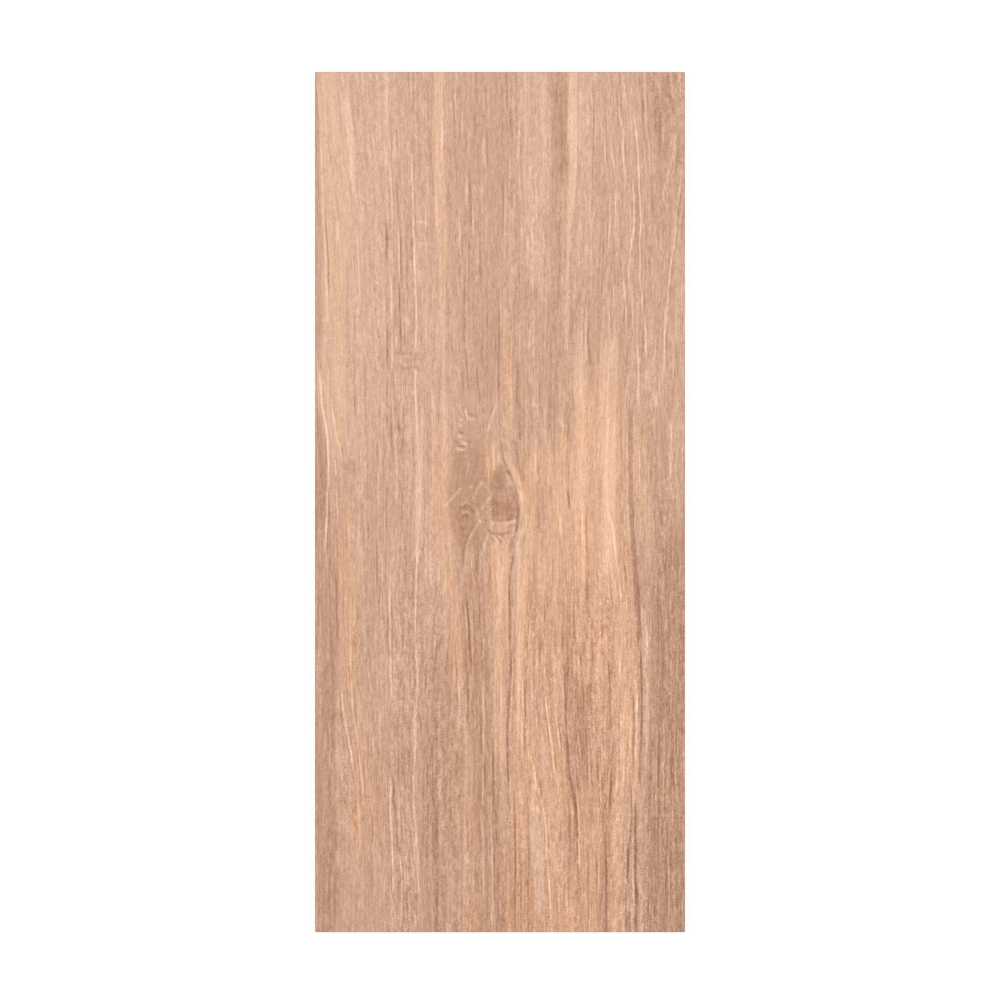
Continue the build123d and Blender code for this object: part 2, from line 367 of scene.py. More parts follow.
    Line(+16, 1.1, ((52.4, 488), (53, 518), (54, 545), (54.8, 574))),
    Line(+14, 0.8, ((58.4, 496), (59.6, 530))),
    Line(+17, 0.8, ((59.6, 546), (61, 570), (60.4, 586), (59.2, 604))),
    Line(+12, 0.9, ((54, 570), (53.6, 620))),
    Line(+14, 1.0, ((71.2, 434), (70, 456), (69.5, 480), (69, 500), (69.6, 520), (71, 536), (72, 552), (72.8, 580))),
    Line(-9, 0.8, ((73, 440), (74.6, 466))),
    Line(-12, 1.2, ((83, 494), (83.4, 512))),
    Line(-7, 1.4, ((83.5, 522), (83.6, 552))),
    Line(-8, 1.6, ((85, 556), (85.4, 640))),
    Line(+12, 0.9, ((10, 540), (9.2, 560), (7.4, 582))),
    Line(-11, 0.8, ((40, 514), (40.6, 536))),
    Line(-11, 0.8, ((48, 508), (48.4, 530))),
    Line(+8, 1.0, ((45.4, 440), (45.6, 470))),
    Line(-10, 0.8, ((46.6, 480), (47, 500))),
    # below the knot
    Line(+7, 1.3, ((90.8, 340), (91, 370), (90.6, 402))),
    Line(+5, 1.6, ((88.4, 410), (86.8, 430), (87.6, 470), (88, 560))),
    Line(-19, 1.0, ((105.8, 366), (107.2, 382), (108.4, 400), (109, 420))),
    Line(+12, 0.8, ((104.8, 366), (106, 386), (107, 398))),
    Line(+11, 0.8, ((109.6, 374), (110.4, 410), (109.6, 436))),
    Line(-14, 0.8, ((115, 370), (115.3, 394))),
    Line(-16, 1.0, ((106.2, 416), (107, 438), (106, 458))),
    Line(+12, 0.8, ((108, 412), (109, 440))),
    Line(+13, 0.9, ((100.4, 416), (101, 442))),
    Line(-10, 0.9, ((98.6, 396), (99.4, 446))),
    Line(+19, 0.9, ((117.3, 430), (118, 452), (118, 484))),
    Line(-13, 0.8, ((116, 436), (116.6, 480))),
    Line(+10, 0.8, ((118, 484), (117.6, 512))),
    Line(-13, 1.0, ((124.6, 470), (124.6, 500), (126, 516), (127, 540))),
    Line(+19, 0.9, ((122.8, 522), (123.5, 545), (124.8, 568))),
    Line(-12, 0.9, ((125.2, 538), (125.6, 572))),
    Line(+13, 0.9, ((124, 564), (123.8, 604))),
    Line(+10, 0.9, ((115.6, 514), (117, 536))),
    Line(-14, 0.9, ((106.4, 516), (106.8, 544))),
    Line(+12, 0.8, ((111, 548), (111.2, 574))),
    Line(+12, 0.8, ((117.4, 542), (117.8, 580))),
    Line(-11, 0.8, ((119.6, 528), (119.8, 556))),
    Line(+5, 1.8, ((129, 326), (129, 375), (129.6, 420))),
    Line(+13, 0.9, ((130.5, 420), (130.5, 442))),
    Line(-20, 1.0, ((138.4, 330), (137.4, 346), (135.8, 358), (136.2, 376), (135.8, 400))),
    Line(-18, 1.0, ((136.6, 398), (137, 415), (135.6, 438), (134.4, 456), (135, 472), (135, 500))),
    Line(+15, 0.9, ((138, 402), (138.2, 424), (136.8, 446), (136.4, 462))),
    Line(-15, 0.9, ((133.6, 496), (135.2, 506), (137.2, 518))),
    Line(-17, 1.0, ((139.3, 504), (140, 530), (140, 556), (139.8, 580), (140, 604))),
    Line(+13, 0.8, ((141.3, 528), (141.2, 572))),
    Line(+15, 0.8, ((140.9, 566), (141, 596))),
    Line(+6, 1.2, ((142.5, 326), (142.3, 370), (142.6, 400), (142, 450), (141.6, 480))),
    Line(+10, 0.9, ((144.6, 448), (144.8, 482))),
    Line(+11, 0.8, ((145.2, 496), (145, 518))),
    Line(+10, 0.8, ((145.6, 522), (145.4, 568))),
    Line(-11, 0.8, ((146.9, 420), (146.8, 470))),
    Line(+11, 0.9, ((149, 452), (149, 482))),
    Line(-13, 1.0, ((149, 512), (149.3, 560), (149, 640))),
    Line(-13, 0.8, ((150.4, 354), (151, 380))),
    Line(-14, 0.8, ((153, 334), (153.3, 364))),
    Line(-12, 0.8, ((160.6, 368), (160.6, 400))),
    Line(-10, 0.8, ((166.6, 336), (166.3, 356))),
    Line(+11, 0.9, ((150.8, 424), (152.2, 446))),
    Line(+20, 1.0, ((160.8, 432), (163, 454), (165.2, 470), (168, 492))),
    Line(-13, 0.8, ((160, 434), (162, 456), (164.4, 472))),
    Line(+17, 1.1, ((151.6, 480), (154.4, 496), (158.8, 510), (161.2, 526), (162.2, 546), (163.2, 566), (165, 590),
                    (165.4, 640))),
    # warm wood on the right
    Line(-28, 1.0, ((176.2, 290), (177, 298), (178, 307))),
    Line(+14, 1.1, ((171.4, 306), (171.5, 328))),
    Line(-13, 0.8, ((170.6, 322), (171.8, 340))),
    Line(-15, 1.0, ((189, 308), (189.8, 330), (190, 352), (190.8, 384))),
    Line(+7, 1.3, ((185.6, 292), (187, 330), (186.6, 354))),
    Line(+5, 1.6, ((185.5, 208), (186.5, 240), (185.8, 290))),
    Line(+7, 1.4, ((204.5, 198), (204.6, 240), (203.8, 290), (205.5, 318))),
    Line(+15, 1.2, ((206, 306), (209, 325), (210.6, 340), (212, 352), (215, 372))),
    Line(+13, 0.8, ((213.2, 334), (215.6, 356), (217, 368))),
    Line(+12, 0.8, ((217.2, 344), (219.2, 366))),
    Line(-14, 0.8, ((215, 338), (218, 362))),
    Line(-14, 2.2, ((220.4, 232), (220.3, 262), (220.7, 296), (221.8, 322), (223, 344), (225.2, 362), (226, 378),
                    (226.6, 402))),
    Line(+9, 0.9, ((217.6, 246), (218.4, 300), (219.6, 330))),
    Line(-18, 1.2, ((227, 396), (228.2, 430), (227.8, 460), (226.6, 500))),
    Line(+14, 1.0, ((228.2, 368), (228.4, 394))),
    Line(+15, 1.0, ((232, 384), (232, 410))),
    Line(+17, 0.9, ((224.6, 432), (224.4, 484))),
    Line(-19, 0.9, ((222.4, 430), (222.4, 490))),
    Line(-18, 1.0, ((219.6, 490), (221.4, 512), (219, 545), (217.6, 580), (217.4, 640))),
    Line(-20, 1.6, ((223.6, 508), (223.8, 545), (224.3, 575), (224, 640))),
    Line(+15, 0.8, ((222.3, 528), (222.4, 590))),
    Line(-13, 0.8, ((175.4, 340), (175.6, 364))),
    Line(-15, 0.9, ((180.8, 364), (181, 398))),
    Line(+12, 0.8, ((179.2, 360), (179, 384))),
    Line(+12, 0.8, ((185.6, 362), (186, 384))),
    Line(-13, 0.8, ((191.6, 362), (191.4, 384))),
    Line(-13, 0.8, ((193, 376), (192.8, 400))),
    Line(-12, 0.8, ((200.4, 378), (200.7, 400))),
    Line(-18, 0.9, ((185, 398), (186.2, 420))),
    Line(-14, 0.9, ((193.6, 394), (194.6, 418))),
    Line(-23, 0.9, ((205, 410), (206, 432), (206.8, 462))),
    Line(+15, 1.0, ((212.4, 402), (213.4, 424))),
    Line(+12, 0.9, ((203.4, 384), (204, 408))),
    Line(+10, 0.9, ((200.6, 404), (201.2, 424))),
    Line(-9, 1.5, ((175.4, 398), (177.4, 432))),
    Line(-13, 0.9, ((173, 384), (173.2, 406))),
    Line(+12, 0.9, ((166.6, 396), (166.8, 424))),
    Line(+15, 1.1, ((167, 414), (168.2, 440), (169.4, 456), (171.2, 474))),
    Line(-13, 0.8, ((170.4, 446), (172.4, 478))),
    Line(-19, 1.2, ((174.6, 408), (175, 445), (176.2, 470), (178, 490), (181, 506), (183, 521), (183.4, 548))),
    Line(+16, 1.0, ((184, 498), (184, 518), (185, 560))),
    Line(-16, 0.9, ((186, 416), (187.6, 436), (187, 454))),
    Line(+12, 0.9, ((190.2, 466), (192, 504))),
    Line(-14, 0.9, ((188.8, 452), (191, 494))),
    Line(-14, 1.0, ((206.6, 482), (206.4, 518))),
    Line(+7, 1.5, ((217, 410), (217.4, 458))),
    Line(+12, 1.1, ((214, 446), (213.6, 488))),
    Line(+10, 1.0, ((220, 448), (219.6, 478))),
    Line(+6, 1.4, ((231.6, 416), (231.8, 450), (230.6, 492))),
    Line(-19, 1.2, ((203, 528), (203.2, 570), (203, 640))),
    Line(-12, 0.9, ((190.6, 536), (190.6, 640))),
    Line(-12, 0.8, ((196.4, 546), (196.6, 578))),
    Line(+4, 1.3, ((211, 500), (210, 540), (209.4, 640))),
    Line(-12, 0.9, ((171, 506), (172, 534))),
    Line(-11, 0.9, ((176.8, 548), (177.2, 590))),
    Line(+13, 0.9, ((163.4, 470), (170, 500), (172, 530))),
    Line(+15, 0.9, ((151.6, 424), (152.6, 441))),
    Line(+15, 0.9, ((154.8, 442), (155, 458))),
    Line(+13, 0.9, ((173, 440), (173.6, 457))),
    Line(+11, 0.9, ((145.2, 424), (145.3, 450))),
    Line(-13, 0.9, ((146, 452), (146.6, 480))),
    Line(+14, 0.9, ((190.8, 474), (191.8, 488), (192.8, 500))),
    Line(+13, 0.8, ((200.8, 466), (200.8, 492))),
    Line(+12, 0.8, ((199.5, 492), (199.7, 514))),
    Line(-12, 0.8, ((198.4, 494), (198.4, 514))),
    Line(+14, 0.8, ((221.8, 500), (222.2, 518))),
    Line(+13, 1.0, ((215.4, 440), (215.6, 470), (215, 504))),
    Line(-15, 1.3, ((177.9, 514), (178.4, 548))),
    Line(-15, 1.0, ((181.2, 512), (181.8, 547))),
    Line(-14, 0.8, ((173.8, 562), (174, 584))),
    Line(-14, 0.8, ((183.8, 550), (183.8, 572))),
    Line(-14, 0.8, ((196.9, 546), (197, 570))),
    Line(+12, 0.8, ((198.2, 548), (198.2, 572))),
    Line(-14, 0.8, ((168.9, 560), (169.1, 592))),
    Line(-13, 0.8, ((171.6, 522), (171.8, 538))),
    Line(+13, 0.8, ((141.3, 526), (141.4, 540))),
    Line(-14, 0.9, ((218.3, 534), (218.4, 572))),
    Line(+12, 0.8, ((208.6, 520), (208.8, 560))),
    Line(-12, 0.8, ((213, 452), (212.6, 486))),
    # middle of the right half
    Line(+14, 0.9, ((215.6, 142), (217, 165), (217.8, 186))),
    Line(+14, 0.9, ((220.6, 146), (221.6, 164), (222.2, 184))),
    Line(+13, 1.0, ((204.8, 154), (205.6, 172), (205.6, 188))),
    Line(+19, 1.1, ((229.8, 168), (231, 182), (231, 200))),
    Line(+18, 0.9, ((247.4, 142), (246.4, 160), (245.4, 169), (244.4, 182), (244.2, 195), (243.6, 212))),
    Line(-12, 0.8, ((245.8, 176), (245.4, 208))),
    Line(+13, 0.9, ((250.6, 184), (250, 206), (249.4, 224))),
    Line(+19, 0.95, ((224.6, 184), (225.8, 204), (226.1, 216), (226, 236))),
    Line(+12, 0.9, ((189.5, 160), (189.5, 204))),
    Line(-12, 1.0, ((190.6, 178), (192.6, 208))),
    Line(+10, 0.9, ((252, 156), (252, 188))),
    Line(-12, 0.9, ((250.2, 208), (250.2, 232))),
    Line(+9, 0.9, ((226.4, 258), (227, 292))),
    Line(+14, 1.2, ((248, 240), (248.5, 262), (248, 286))),
    Line(-9, 0.9, ((213.4, 214), (213.6, 272))),
    Line(-14, 1.0, ((128.6, 150), (128.6, 200), (128.2, 225))),
    Line(-12, 1.0, ((126.4, 180), (126.6, 206))),
    Line(+11, 0.8, ((129.6, 152), (129.3, 174))),
    Line(+10, 0.8, ((136.9, 178), (137.1, 230))),
    Line(-11, 1.1, ((116.2, 186), (117.6, 210))),
    Line(-12, 0.8, ((95, 184), (97.4, 206))),
    Line(-14, 0.9, ((104.6, 190), (106, 205), (108, 222))),
    Line(-11, 0.8, ((102.8, 206), (104.2, 228))),
    Line(-9, 0.9, ((112.6, 200), (115.6, 240))),
    Line(+9, 0.9, ((150, 176), (149.6, 200))),
    Line(+9, 1.0, ((147.5, 226), (147.5, 264))),
    Line(-11, 0.9, ((150.8, 212), (151.2, 254))),
    Line(+9, 1.0, ((160.5, 230), (160.6, 268))),
    Line(-11, 0.9, ((163.4, 222), (163.2, 264))),
    Line(-10, 0.9, ((143, 222), (143.6, 264))),
    Line(+10, 0.9, ((154.6, 250), (154, 282))),
    Line(-11, 0.9, ((141.2, 196), (141.4, 228))),
    Line(-10, 0.9, ((157, 196), (157.2, 230))),
    Line(+11, 0.9, ((231.2, 206), (231.8, 219))),
    Line(+11, 0.9, ((233.6, 212), (234, 224))),
    Line(+11, 0.9, ((236, 218), (236.4, 230))),
    Line(+14, 1.0, ((238.4, 221), (238.4, 236))),
    Line(+11, 0.9, ((240.8, 215), (240.4, 228))),
    Line(+11, 0.9, ((242.8, 206), (242.2, 220))),
    # short pale ticks of the dark wood on the right side
    Line(+10, 0.7, ((246, 352), (246, 380))),
    Line(+11, 0.7, ((248.4, 356), (248.2, 378))),
    Line(+9, 0.7, ((241.4, 346), (241.6, 372))),
    Line(+11, 0.7, ((252.6, 366), (252.6, 394))),
    Line(+11, 0.7, ((245.4, 374), (245.6, 394))),
    Line(+11, 0.7, ((253, 404), (253.2, 430))),
    Line(+9, 0.7, ((241, 396), (241.4, 426))),
    Line(+10, 0.7, ((246.4, 402), (246.6, 438))),
    Line(+9, 0.7, ((237.6, 408), (237.4, 434))),
    Line(+9, 0.7, ((248.6, 428), (248.4, 456))),
    Line(+13, 0.7, ((243.5, 450), (244, 470), (245, 492))),
    Line(+12, 0.7, ((243.2, 484), (243, 512))),
    Line(+11, 0.7, ((246.2, 488), (246, 516))),
    Line(+10, 0.7, ((238, 492), (238, 514))),
    Line(+11, 0.7, ((235.6, 506), (235.4, 518))),
    Line(+12, 0.7, ((241, 528), (241, 552))),
    Line(+10, 0.7, ((251, 526), (250.6, 548))),
    Line(+12, 0.7, ((247, 544), (247.4, 584))),
    Line(+11, 0.7, ((253.2, 552), (253, 578))),
    Line(+10, 0.7, ((242, 558), (242.2, 588))),
    Line(+10, 0.7, ((236, 570), (236, 604))),
    Line(-9, 0.8, ((239.6, 350), (240.2, 420))),
    Line(-9, 0.8, ((249.8, 440), (249.6, 500))),
    Line(-9, 0.8, ((240.2, 460), (240.4, 520))),
    Line(-9, 0.8, ((245, 520), (245.2, 590))),
)

# Dark lobes of the knot and the lighter wood at its foot, as strips
KNOT_STRIPS = (
    Strip(-6, 0.05, 9, 16, ((101, 117, 236), (99, 118, 262), (98, 119, 285), (99, 118, 310), (102, 114, 345))),
    Strip(-11, 0.1, 5, 12, ((99, 118, 256), (95, 120, 276), (92.5, 121, 297), (92.5, 121, 312), (97, 118, 324),
                            (103, 113, 340))),
    Strip(-4, 0.1, 3, 6, ((100, 110, 299), (98, 112, 307), (100, 110, 319))),
    Strip(-24, 0.15, 3, 6, ((127.6, 129.6, 271), (125, 132.5, 279), (122.8, 133.5, 285), (123.5, 131, 293))),
    Strip(-17, 0.15, 3, 4, ((123.5, 138, 287), (123, 140.5, 295), (122.5, 141, 303), (123, 139, 309),
                            (124, 136, 314))),
    Strip(-7, 0.1, 3, 9, ((123, 131, 293), (122.5, 137, 303), (123, 137, 310), (124, 135, 314))),
    Strip(+8, 0.7, 3, 3, ((121, 139, 311), (122, 138, 317), (123, 135, 324))),
)

# Thin strokes that cross the grain: pale lines of the knot, partly its print and partly painted sheen, with dark
# partners that are partly painted shade, and small marks in the wood
STROKES = (
    # left side of the knot
    Stroke(+13, 0.0, 0.9, ((91.5, 302.5), (95, 298), (98, 295), (102, 290.5))),
    Stroke(+9, 0.0, 0.9, ((101, 304), (106, 299.5), (111, 304.5))),
    Stroke(+13, 0.0, 0.9, ((107, 290), (110, 289))),
    Stroke(+12, 0.0, 0.9, ((111, 297), (113, 292.5), (116, 286.5))),
    Stroke(+9, 0.0, 0.9, ((115.8, 285), (120, 290), (123, 293))),
    Stroke(+12, 0.0, 0.9, ((124, 294), (120.5, 299), (117, 304.5))),
    Stroke(-12, 0.0, 1.3, ((101.5, 303.8), (106.5, 302.6))),
    Stroke(+11, 0.0, 0.9, ((101, 310), (104, 307.5), (107, 306.5), (108, 309))),
    Stroke(-12, 0.0, 1.3, ((103.5, 309.4), (106.5, 309.4))),
    Stroke(-11, 0.0, 1.2, ((108.8, 303), (110.8, 307))),
    Stroke(+15, 0.0, 1.2, ((113.8, 306.5), (114.3, 310), (115.4, 314))),
    Stroke(+11, 0.0, 0.9, ((115.4, 313.5), (112, 318), (108.4, 324.5), (106.4, 331), (105.2, 340), (105, 352))),
    Stroke(-9, 0.0, 1.2, ((110, 318), (106.5, 324), (104.2, 332), (103.4, 346))),
    Stroke(+9, 0.0, 0.9, ((121.5, 321), (119, 328), (116.4, 335), (115.2, 345), (115, 357))),
    Stroke(-9, 0.0, 1.2, ((119.5, 322), (117, 328), (114.4, 336), (113.4, 350))),
    Stroke(+7, 0.0, 1.2, ((106.7, 267), (107, 277))),
    # right side of the knot, its flat foot and the arc round it
    Stroke(-5, -0.1, 1.0, ((124.4, 293), (124.8, 310.5))),
    Stroke(-7, -0.1, 0.9, ((127.3, 300), (127.6, 311))),
    Stroke(+6, 0.0, 1.2, ((128.6, 293), (129.2, 299))),
    Stroke(+6, 0.0, 1.2, ((132.4, 294), (133, 300))),
    Stroke(+5, 0.0, 1.2, ((135.8, 292), (136.6, 299))),
    Stroke(-10, -0.1, 0.9, ((122.5, 312.2), (129, 313), (135, 312))),
    Stroke(-12, 0.0, 0.9, ((135, 312.8), (140, 310.8))),
    Stroke(+12, 0.0, 0.9, ((134.8, 315), (139.5, 313))),
    Stroke(-10, 0.0, 0.9, ((135, 317.4), (139.5, 315.6))),
    Stroke(-16, -0.1, 0.9, ((121, 319.6), (124.5, 321.8), (130, 322.6), (135.5, 321))),
    Stroke(-12, 0.0, 0.8, ((122.6, 323.4), (126, 328))),
    Stroke(+11, 0.1, 0.8, ((124.8, 323.6), (128.2, 328))),
    Stroke(-12, 0.0, 0.8, ((127, 324), (130.4, 328))),
    Stroke(+10, 0.1, 0.8, ((129.2, 324), (132.2, 327.6))),
    Stroke(-9, 0.0, 0.8, ((131.4, 324.2), (134, 327.4))),
    Stroke(+6, 0.6, 1.8, ((132.4, 265.5), (136, 272), (139.6, 279.5), (142.6, 286))),
    Stroke(+7, 0.6, 3.0, ((139.2, 279.5), (141.4, 284.5), (144, 291), (144.8, 297))),
    Stroke(+12, 0.7, 1.8, ((143.8, 293), (145.2, 304), (147, 311), (146.6, 317), (144.6, 322))),
    Stroke(-10, -0.2, 1.0, ((129.6, 258), (131, 267), (133.6, 276), (137, 282), (139.8, 289), (141.6, 297),
                            (141.8, 306))),
    Stroke(-12, -0.2, 1.3, ((141.8, 304), (141.2, 313), (140.6, 320))),
    Stroke(-18, -0.1, 1.2, ((134.6, 278.8), (135.8, 279.8))),
    Stroke(-8, -0.1, 1.0, ((140, 321), (138.2, 328), (137.6, 334))),
    Stroke(+10, 0.2, 0.9, ((139.7, 326), (140.8, 333))),
    Stroke(-9, -0.1, 1.6, ((139.6, 258), (142, 270), (145.4, 284))),
    Stroke(+8, 0.3, 1.6, ((134.5, 281), (137, 287))),
    Stroke(+10, 0.2, 1.0, ((121, 269), (121.6, 282))),
    Stroke(+10, 0.2, 1.0, ((124.2, 260), (125.2, 277))),
    Stroke(+10, 0.2, 0.9, ((128, 266), (128.6, 281))),
    Stroke(-7, -0.4, 2.4, ((156.4, 287), (157.2, 304), (157, 320))),
    # pitted patch above the knot: pale and dark dashes, partly print and partly the painted highlight and painted
    # shade of its pits
    Stroke(+11, 0.0, 1.0, ((100.6, 232), (103, 238.4))),
    Stroke(+14, 0.0, 0.9, ((105.4, 235.6), (106.6, 242.4))),
    Stroke(-9, 0.0, 0.9, ((103.8, 234), (105, 242))),
    Stroke(+16, 0.0, 1.0, ((101.6, 242), (103, 242.4))),
    Stroke(+15, 0.0, 1.0, ((107.8, 241.8), (111, 242.4))),
    Stroke(-12, 0.0, 1.0, ((108, 239), (112.4, 239.6))),
    Stroke(+14, 0.0, 1.0, ((101, 246), (102.4, 246.6))),
    Stroke(+19, 0.0, 1.0, ((101, 253.6), (102.2, 254))),
    Stroke(-15, 0.0, 1.0, ((101.4, 251.2), (103.2, 251.8))),
    Stroke(+21, 0.0, 1.0, ((102.6, 258.6), (105.4, 259.4))),
    Stroke(+20, 0.0, 1.0, ((99.6, 262.8), (103.2, 263.6))),
    Stroke(-15, 0.0, 1.0, ((97.6, 257.2), (100, 258.6))),
    Stroke(-15, 0.0, 0.9, ((100, 260.8), (104.4, 261.2))),
    Stroke(-11, 0.0, 1.0, ((105.8, 256.8), (108.4, 257.8))),
    Stroke(+12, 0.0, 1.0, ((127, 231.8), (125.2, 236.4), (123.4, 241), (122.4, 245.4), (121.4, 250))),
    Stroke(-8, 0.0, 1.0, ((125, 233), (122, 240), (120, 248))),
    Stroke(+11, 0.0, 0.9, ((98.6, 206), (100.4, 208), (101.2, 215))),
    Stroke(+12, 0.0, 1.0, ((103.2, 190.8), (107, 191.2))),
    Stroke(+14, 0.0, 1.0, ((152.4, 231.4), (154.8, 233))),
    Stroke(+9, 0.0, 1.8, ((170.6, 242.6), (173, 246.6))),
    # crossed marks of the left half: pale and dark dashes, partly print and partly the painted highlight and painted
    # shade of the emboss
    Stroke(+11, 0.0, 1.0, ((73, 104.4), (77, 105), (78.6, 106))),
    Stroke(+7, 0.0, 1.0, ((72, 119.6), (79, 119.6))),
    Stroke(-9, 0.0, 1.0, ((48, 115.2), (53, 116))),
    Stroke(+15, 0.0, 1.3, ((63.6, 172.4), (64.6, 172.8))),
    Stroke(+12, 0.0, 1.0, ((57, 184), (57, 190))),
    Stroke(+9, 0.0, 1.0, ((56, 200), (59, 201), (62, 204), (66, 205.2))),
    Stroke(+7, 0.0, 0.9, ((58, 198.2), (66, 198.6))),
    Stroke(-6, 0.0, 0.9, ((57, 196.2), (70, 197), (79, 197))),
    Stroke(-7, 0.0, 0.9, ((61, 206.6), (69, 205.8), (74, 207.6))),
    Stroke(+11, 0.0, 1.0, ((69, 208), (72, 210.4))),
    Stroke(-12, 0.0, 1.7, ((58.6, 247), (59.4, 248.6))),
    Stroke(-8, 0.0, 3.2, ((21.5, 274), (26, 278))),
    Stroke(-7, 0.0, 1.2, ((24, 270.6), (28, 274))),
    Stroke(+8, 0.0, 1.0, ((30.4, 333.6), (37, 338.4))),
    Stroke(-12, 0.0, 1.6, ((46, 437), (47.2, 437.6))),
    # small marks of the right half
    Stroke(+3, 0.0, 2.6, ((231.4, 210), (234.4, 218), (238.2, 230))),
    Stroke(+3, 0.0, 2.6, ((243, 210), (241.4, 218), (238.6, 230))),
    Stroke(-12, 0.0, 0.9, ((235.4, 226.6), (236, 229.4))),
    Stroke(-13, 0.0, 1.6, ((248.8, 17), (249.4, 22))),
    Stroke(-11, 0.0, 1.4, ((164.4, 290), (164.8, 293.4))),
    Stroke(+6, -0.1, 1.0, ((216, 518), (238, 518.4), (259, 518))),
    Stroke(-4, -0.1, 1.0, ((216, 520.6), (238, 521), (259, 520.6))),
    Stroke(+9, -0.2, 2.2, ((151.5, 512.6), (156, 515))),
)

# How the marks are drawn, in millimetres: waver of a strip's sides and of a hairline, and a hairline's soft end
STRIP_WAVER = 1.3
END_WAVER = 11.0
LINE_WAVER = 0.35
LINE_FADE = 8.0
LINE_CONTRAST = 2.35
LINE_WIDTH = 0.74
STROKE_CONTRAST = 2.1
STROKE_WIDTH = 0.88
READ_SHIFT = 0.35
WARMTH_RANGE = (-0.1, 1.0)

# Tone that a hairline takes from the wood beside it, and how far, as shares of its own tone and reach
HALO_TONE = 0.22
HALO_REACH = 2.4


def trace(path, down):
    """Places across at each place down, on a smooth line through the path's points."""
    across, knots = np.array(path, float).T
    slope = np.gradient(across, knots)
    k = np.clip(np.searchsorted(knots, down, side="right") - 1, 0, len(knots) - 2)
    span = knots[k + 1] - knots[k]
    t = np.clip((down - knots[k]) / span, 0, 1)
    start = (1 + 2 * t) * (1 - t) ** 2 * across[k] + t * (1 - t) ** 2 * span * slope[k]
    return start + t**2 * (3 - 2 * t) * across[k + 1] + t**2 * (t - 1) * span * slope[k + 1]


def ease(t):
    """Smooth step from 0 to 1."""
    t = np.clip(t, 0, 1)
    return t * t * (3 - 2 * t)


def waver(across, down, cell_across, cell_down, seed):
    """Smooth random values from -1 to 1 at each crossing of a column and a row, one for each cell."""
    column, row = across / cell_across, down / cell_down
    j, i = column.astype(int), row.astype(int)
    values = np.random.default_rng(seed).uniform(-1, 1, (i.max() + 2, j.max() + 2))
    t, s = ease(column - j)[None, :], ease(row - i)[:, None]
    upper = values[i][:, j] * (1 - t) + values[i][:, j + 1] * t
    lower = values[i + 1][:, j] * (1 - t) + values[i + 1][:, j + 1] * t
    return upper * (1 - s) + lower * s


def between(first, last, fade, down):
    """1 between two places down, falling to 0 at both over a soft end."""
    return ease((down - first) / fade) * ease((last - down) / fade)


def strip_cover(strip, across, down, end_down):
    """How strongly a strip covers each crossing of a column and a row, with its ends at places of their own."""
    left = trace([(left, place) for left, right, place in strip.path], down)[:, None]
    right = trace([(right, place) for left, right, place in strip.path], down)[:, None]
    sides = ease((across - left) / strip.edge + 0.5) * ease((right - across) / strip.edge + 0.5)
    return sides * between(strip.path[0][2], strip.path[-1][2], strip.fade, end_down)


def line_cover(line, across, down):
    """How strongly a hairline covers each crossing of a column and a row, less than 0 beside it."""
    first, last = line.path[0][1], line.path[-1][1]
    offset = (across - trace(line.path, down)[:, None]) / (LINE_WIDTH * line.reach)
    profile = np.exp(-offset**4) - HALO_TONE * np.exp(-((offset / HALO_REACH) ** 2))
    ends = between(first, last, min(LINE_FADE, 0.3 * (last - first)), down)
    return LINE_CONTRAST * profile * ends[:, None]


def stroke_cover(stroke, across, down):
    """How strongly a stroke covers each crossing of a column and a row."""
    near = np.full((len(down), len(across)), np.inf)
    for (a0, b0), (a1, b1) in zip(stroke.path, stroke.path[1:]):
        da, db = a1 - a0, b1 - b0
        t = ((across[None, :] - a0) * da + (down[:, None] - b0) * db) / (da * da + db * db)
        t = np.clip(t, 0, 1)
        gap = np.hypot(across[None, :] - a0 - t * da, down[:, None] - b0 - t * db)
        near = np.minimum(near, gap)
    return np.exp(-((near / (STROKE_WIDTH * stroke.reach)) ** 2))


def grain_coordinate(across, down):
    """Place across the grain, the same all along a grain line, at each crossing of a column and a row."""
    lines = np.array([trace(path, down) for path in GRAIN_LINES])
    values = lines.mean(axis=1)
    return np.array([np.interp(across, lines[:, j], values) for j in range(len(down))])


# Strength of the grain at places across the tile, and how it gains at places down
GRAIN_ACROSS = ((0, 0.6), (40, 0.7), (65, 0.8), (105, 0.69), (145, 0.76), (180, 0.8), (258, 0.81))
GRAIN_DOWN = ((0, 1.0), (240, 1.0), (300, 1.1), (390, 1.29), (600, 1.31))
GRAIN_IN_PALE = ((222, 1.0), (242, 0.74))  # how it drops in wood of a paler tone


def grain_strength(across, down, wash):
    """Strength of the grain at each crossing of a column and a row, for the broad tone there."""
    by_place = np.interp(across, *zip(*GRAIN_ACROSS))[None, :] * np.interp(down, *zip(*GRAIN_DOWN))[:, None]
    return by_place * np.interp(wash, *zip(*GRAIN_IN_PALE))


def figure(across, down):
    """Broad, hairline and stroke tone, warmth and share of the knot at each crossing of a column and a row."""
    wash = np.interp(down, *zip(*BASE_TONE_DOWN))[:, None] + np.zeros((1, len(across)))
    lines = np.zeros_like(wash)
    marks = np.zeros_like(wash)
    warmth = np.zeros_like(wash)
    knot = np.zeros_like(wash)
    strip_across = across[None, :] + STRIP_WAVER * waver(across, down, 2.6, 30.0, seed=1)
    end_down = down[:, None] + END_WAVER * waver(across, down, 2.8, 200.0, seed=3)
    for strip in STRIPS:
        cover = strip_cover(strip, strip_across, down, end_down)
        wash += strip.tone * cover
        warmth += strip.warmth * cover
    across = across + READ_SHIFT
    line_across = across[None, :] + LINE_WAVER * waver(across, down, 9.0, 11.0, seed=2)
    for line in LINES:
        lines += line.tone * line_cover(line, line_across, down)
    for strip in KNOT_STRIPS:
        cover = strip_cover(strip, across[None, :], down, down[:, None])
        wash += strip.tone * cover
        warmth += strip.warmth * cover
        knot = np.maximum(knot, cover)
    for stroke in STROKES:
        cover = stroke_cover(stroke, across, down)
        marks += STROKE_CONTRAST * stroke.tone * cover
        warmth += stroke.warmth * cover
    return wash, lines, marks, np.clip(warmth, *WARMTH_RANGE), knot


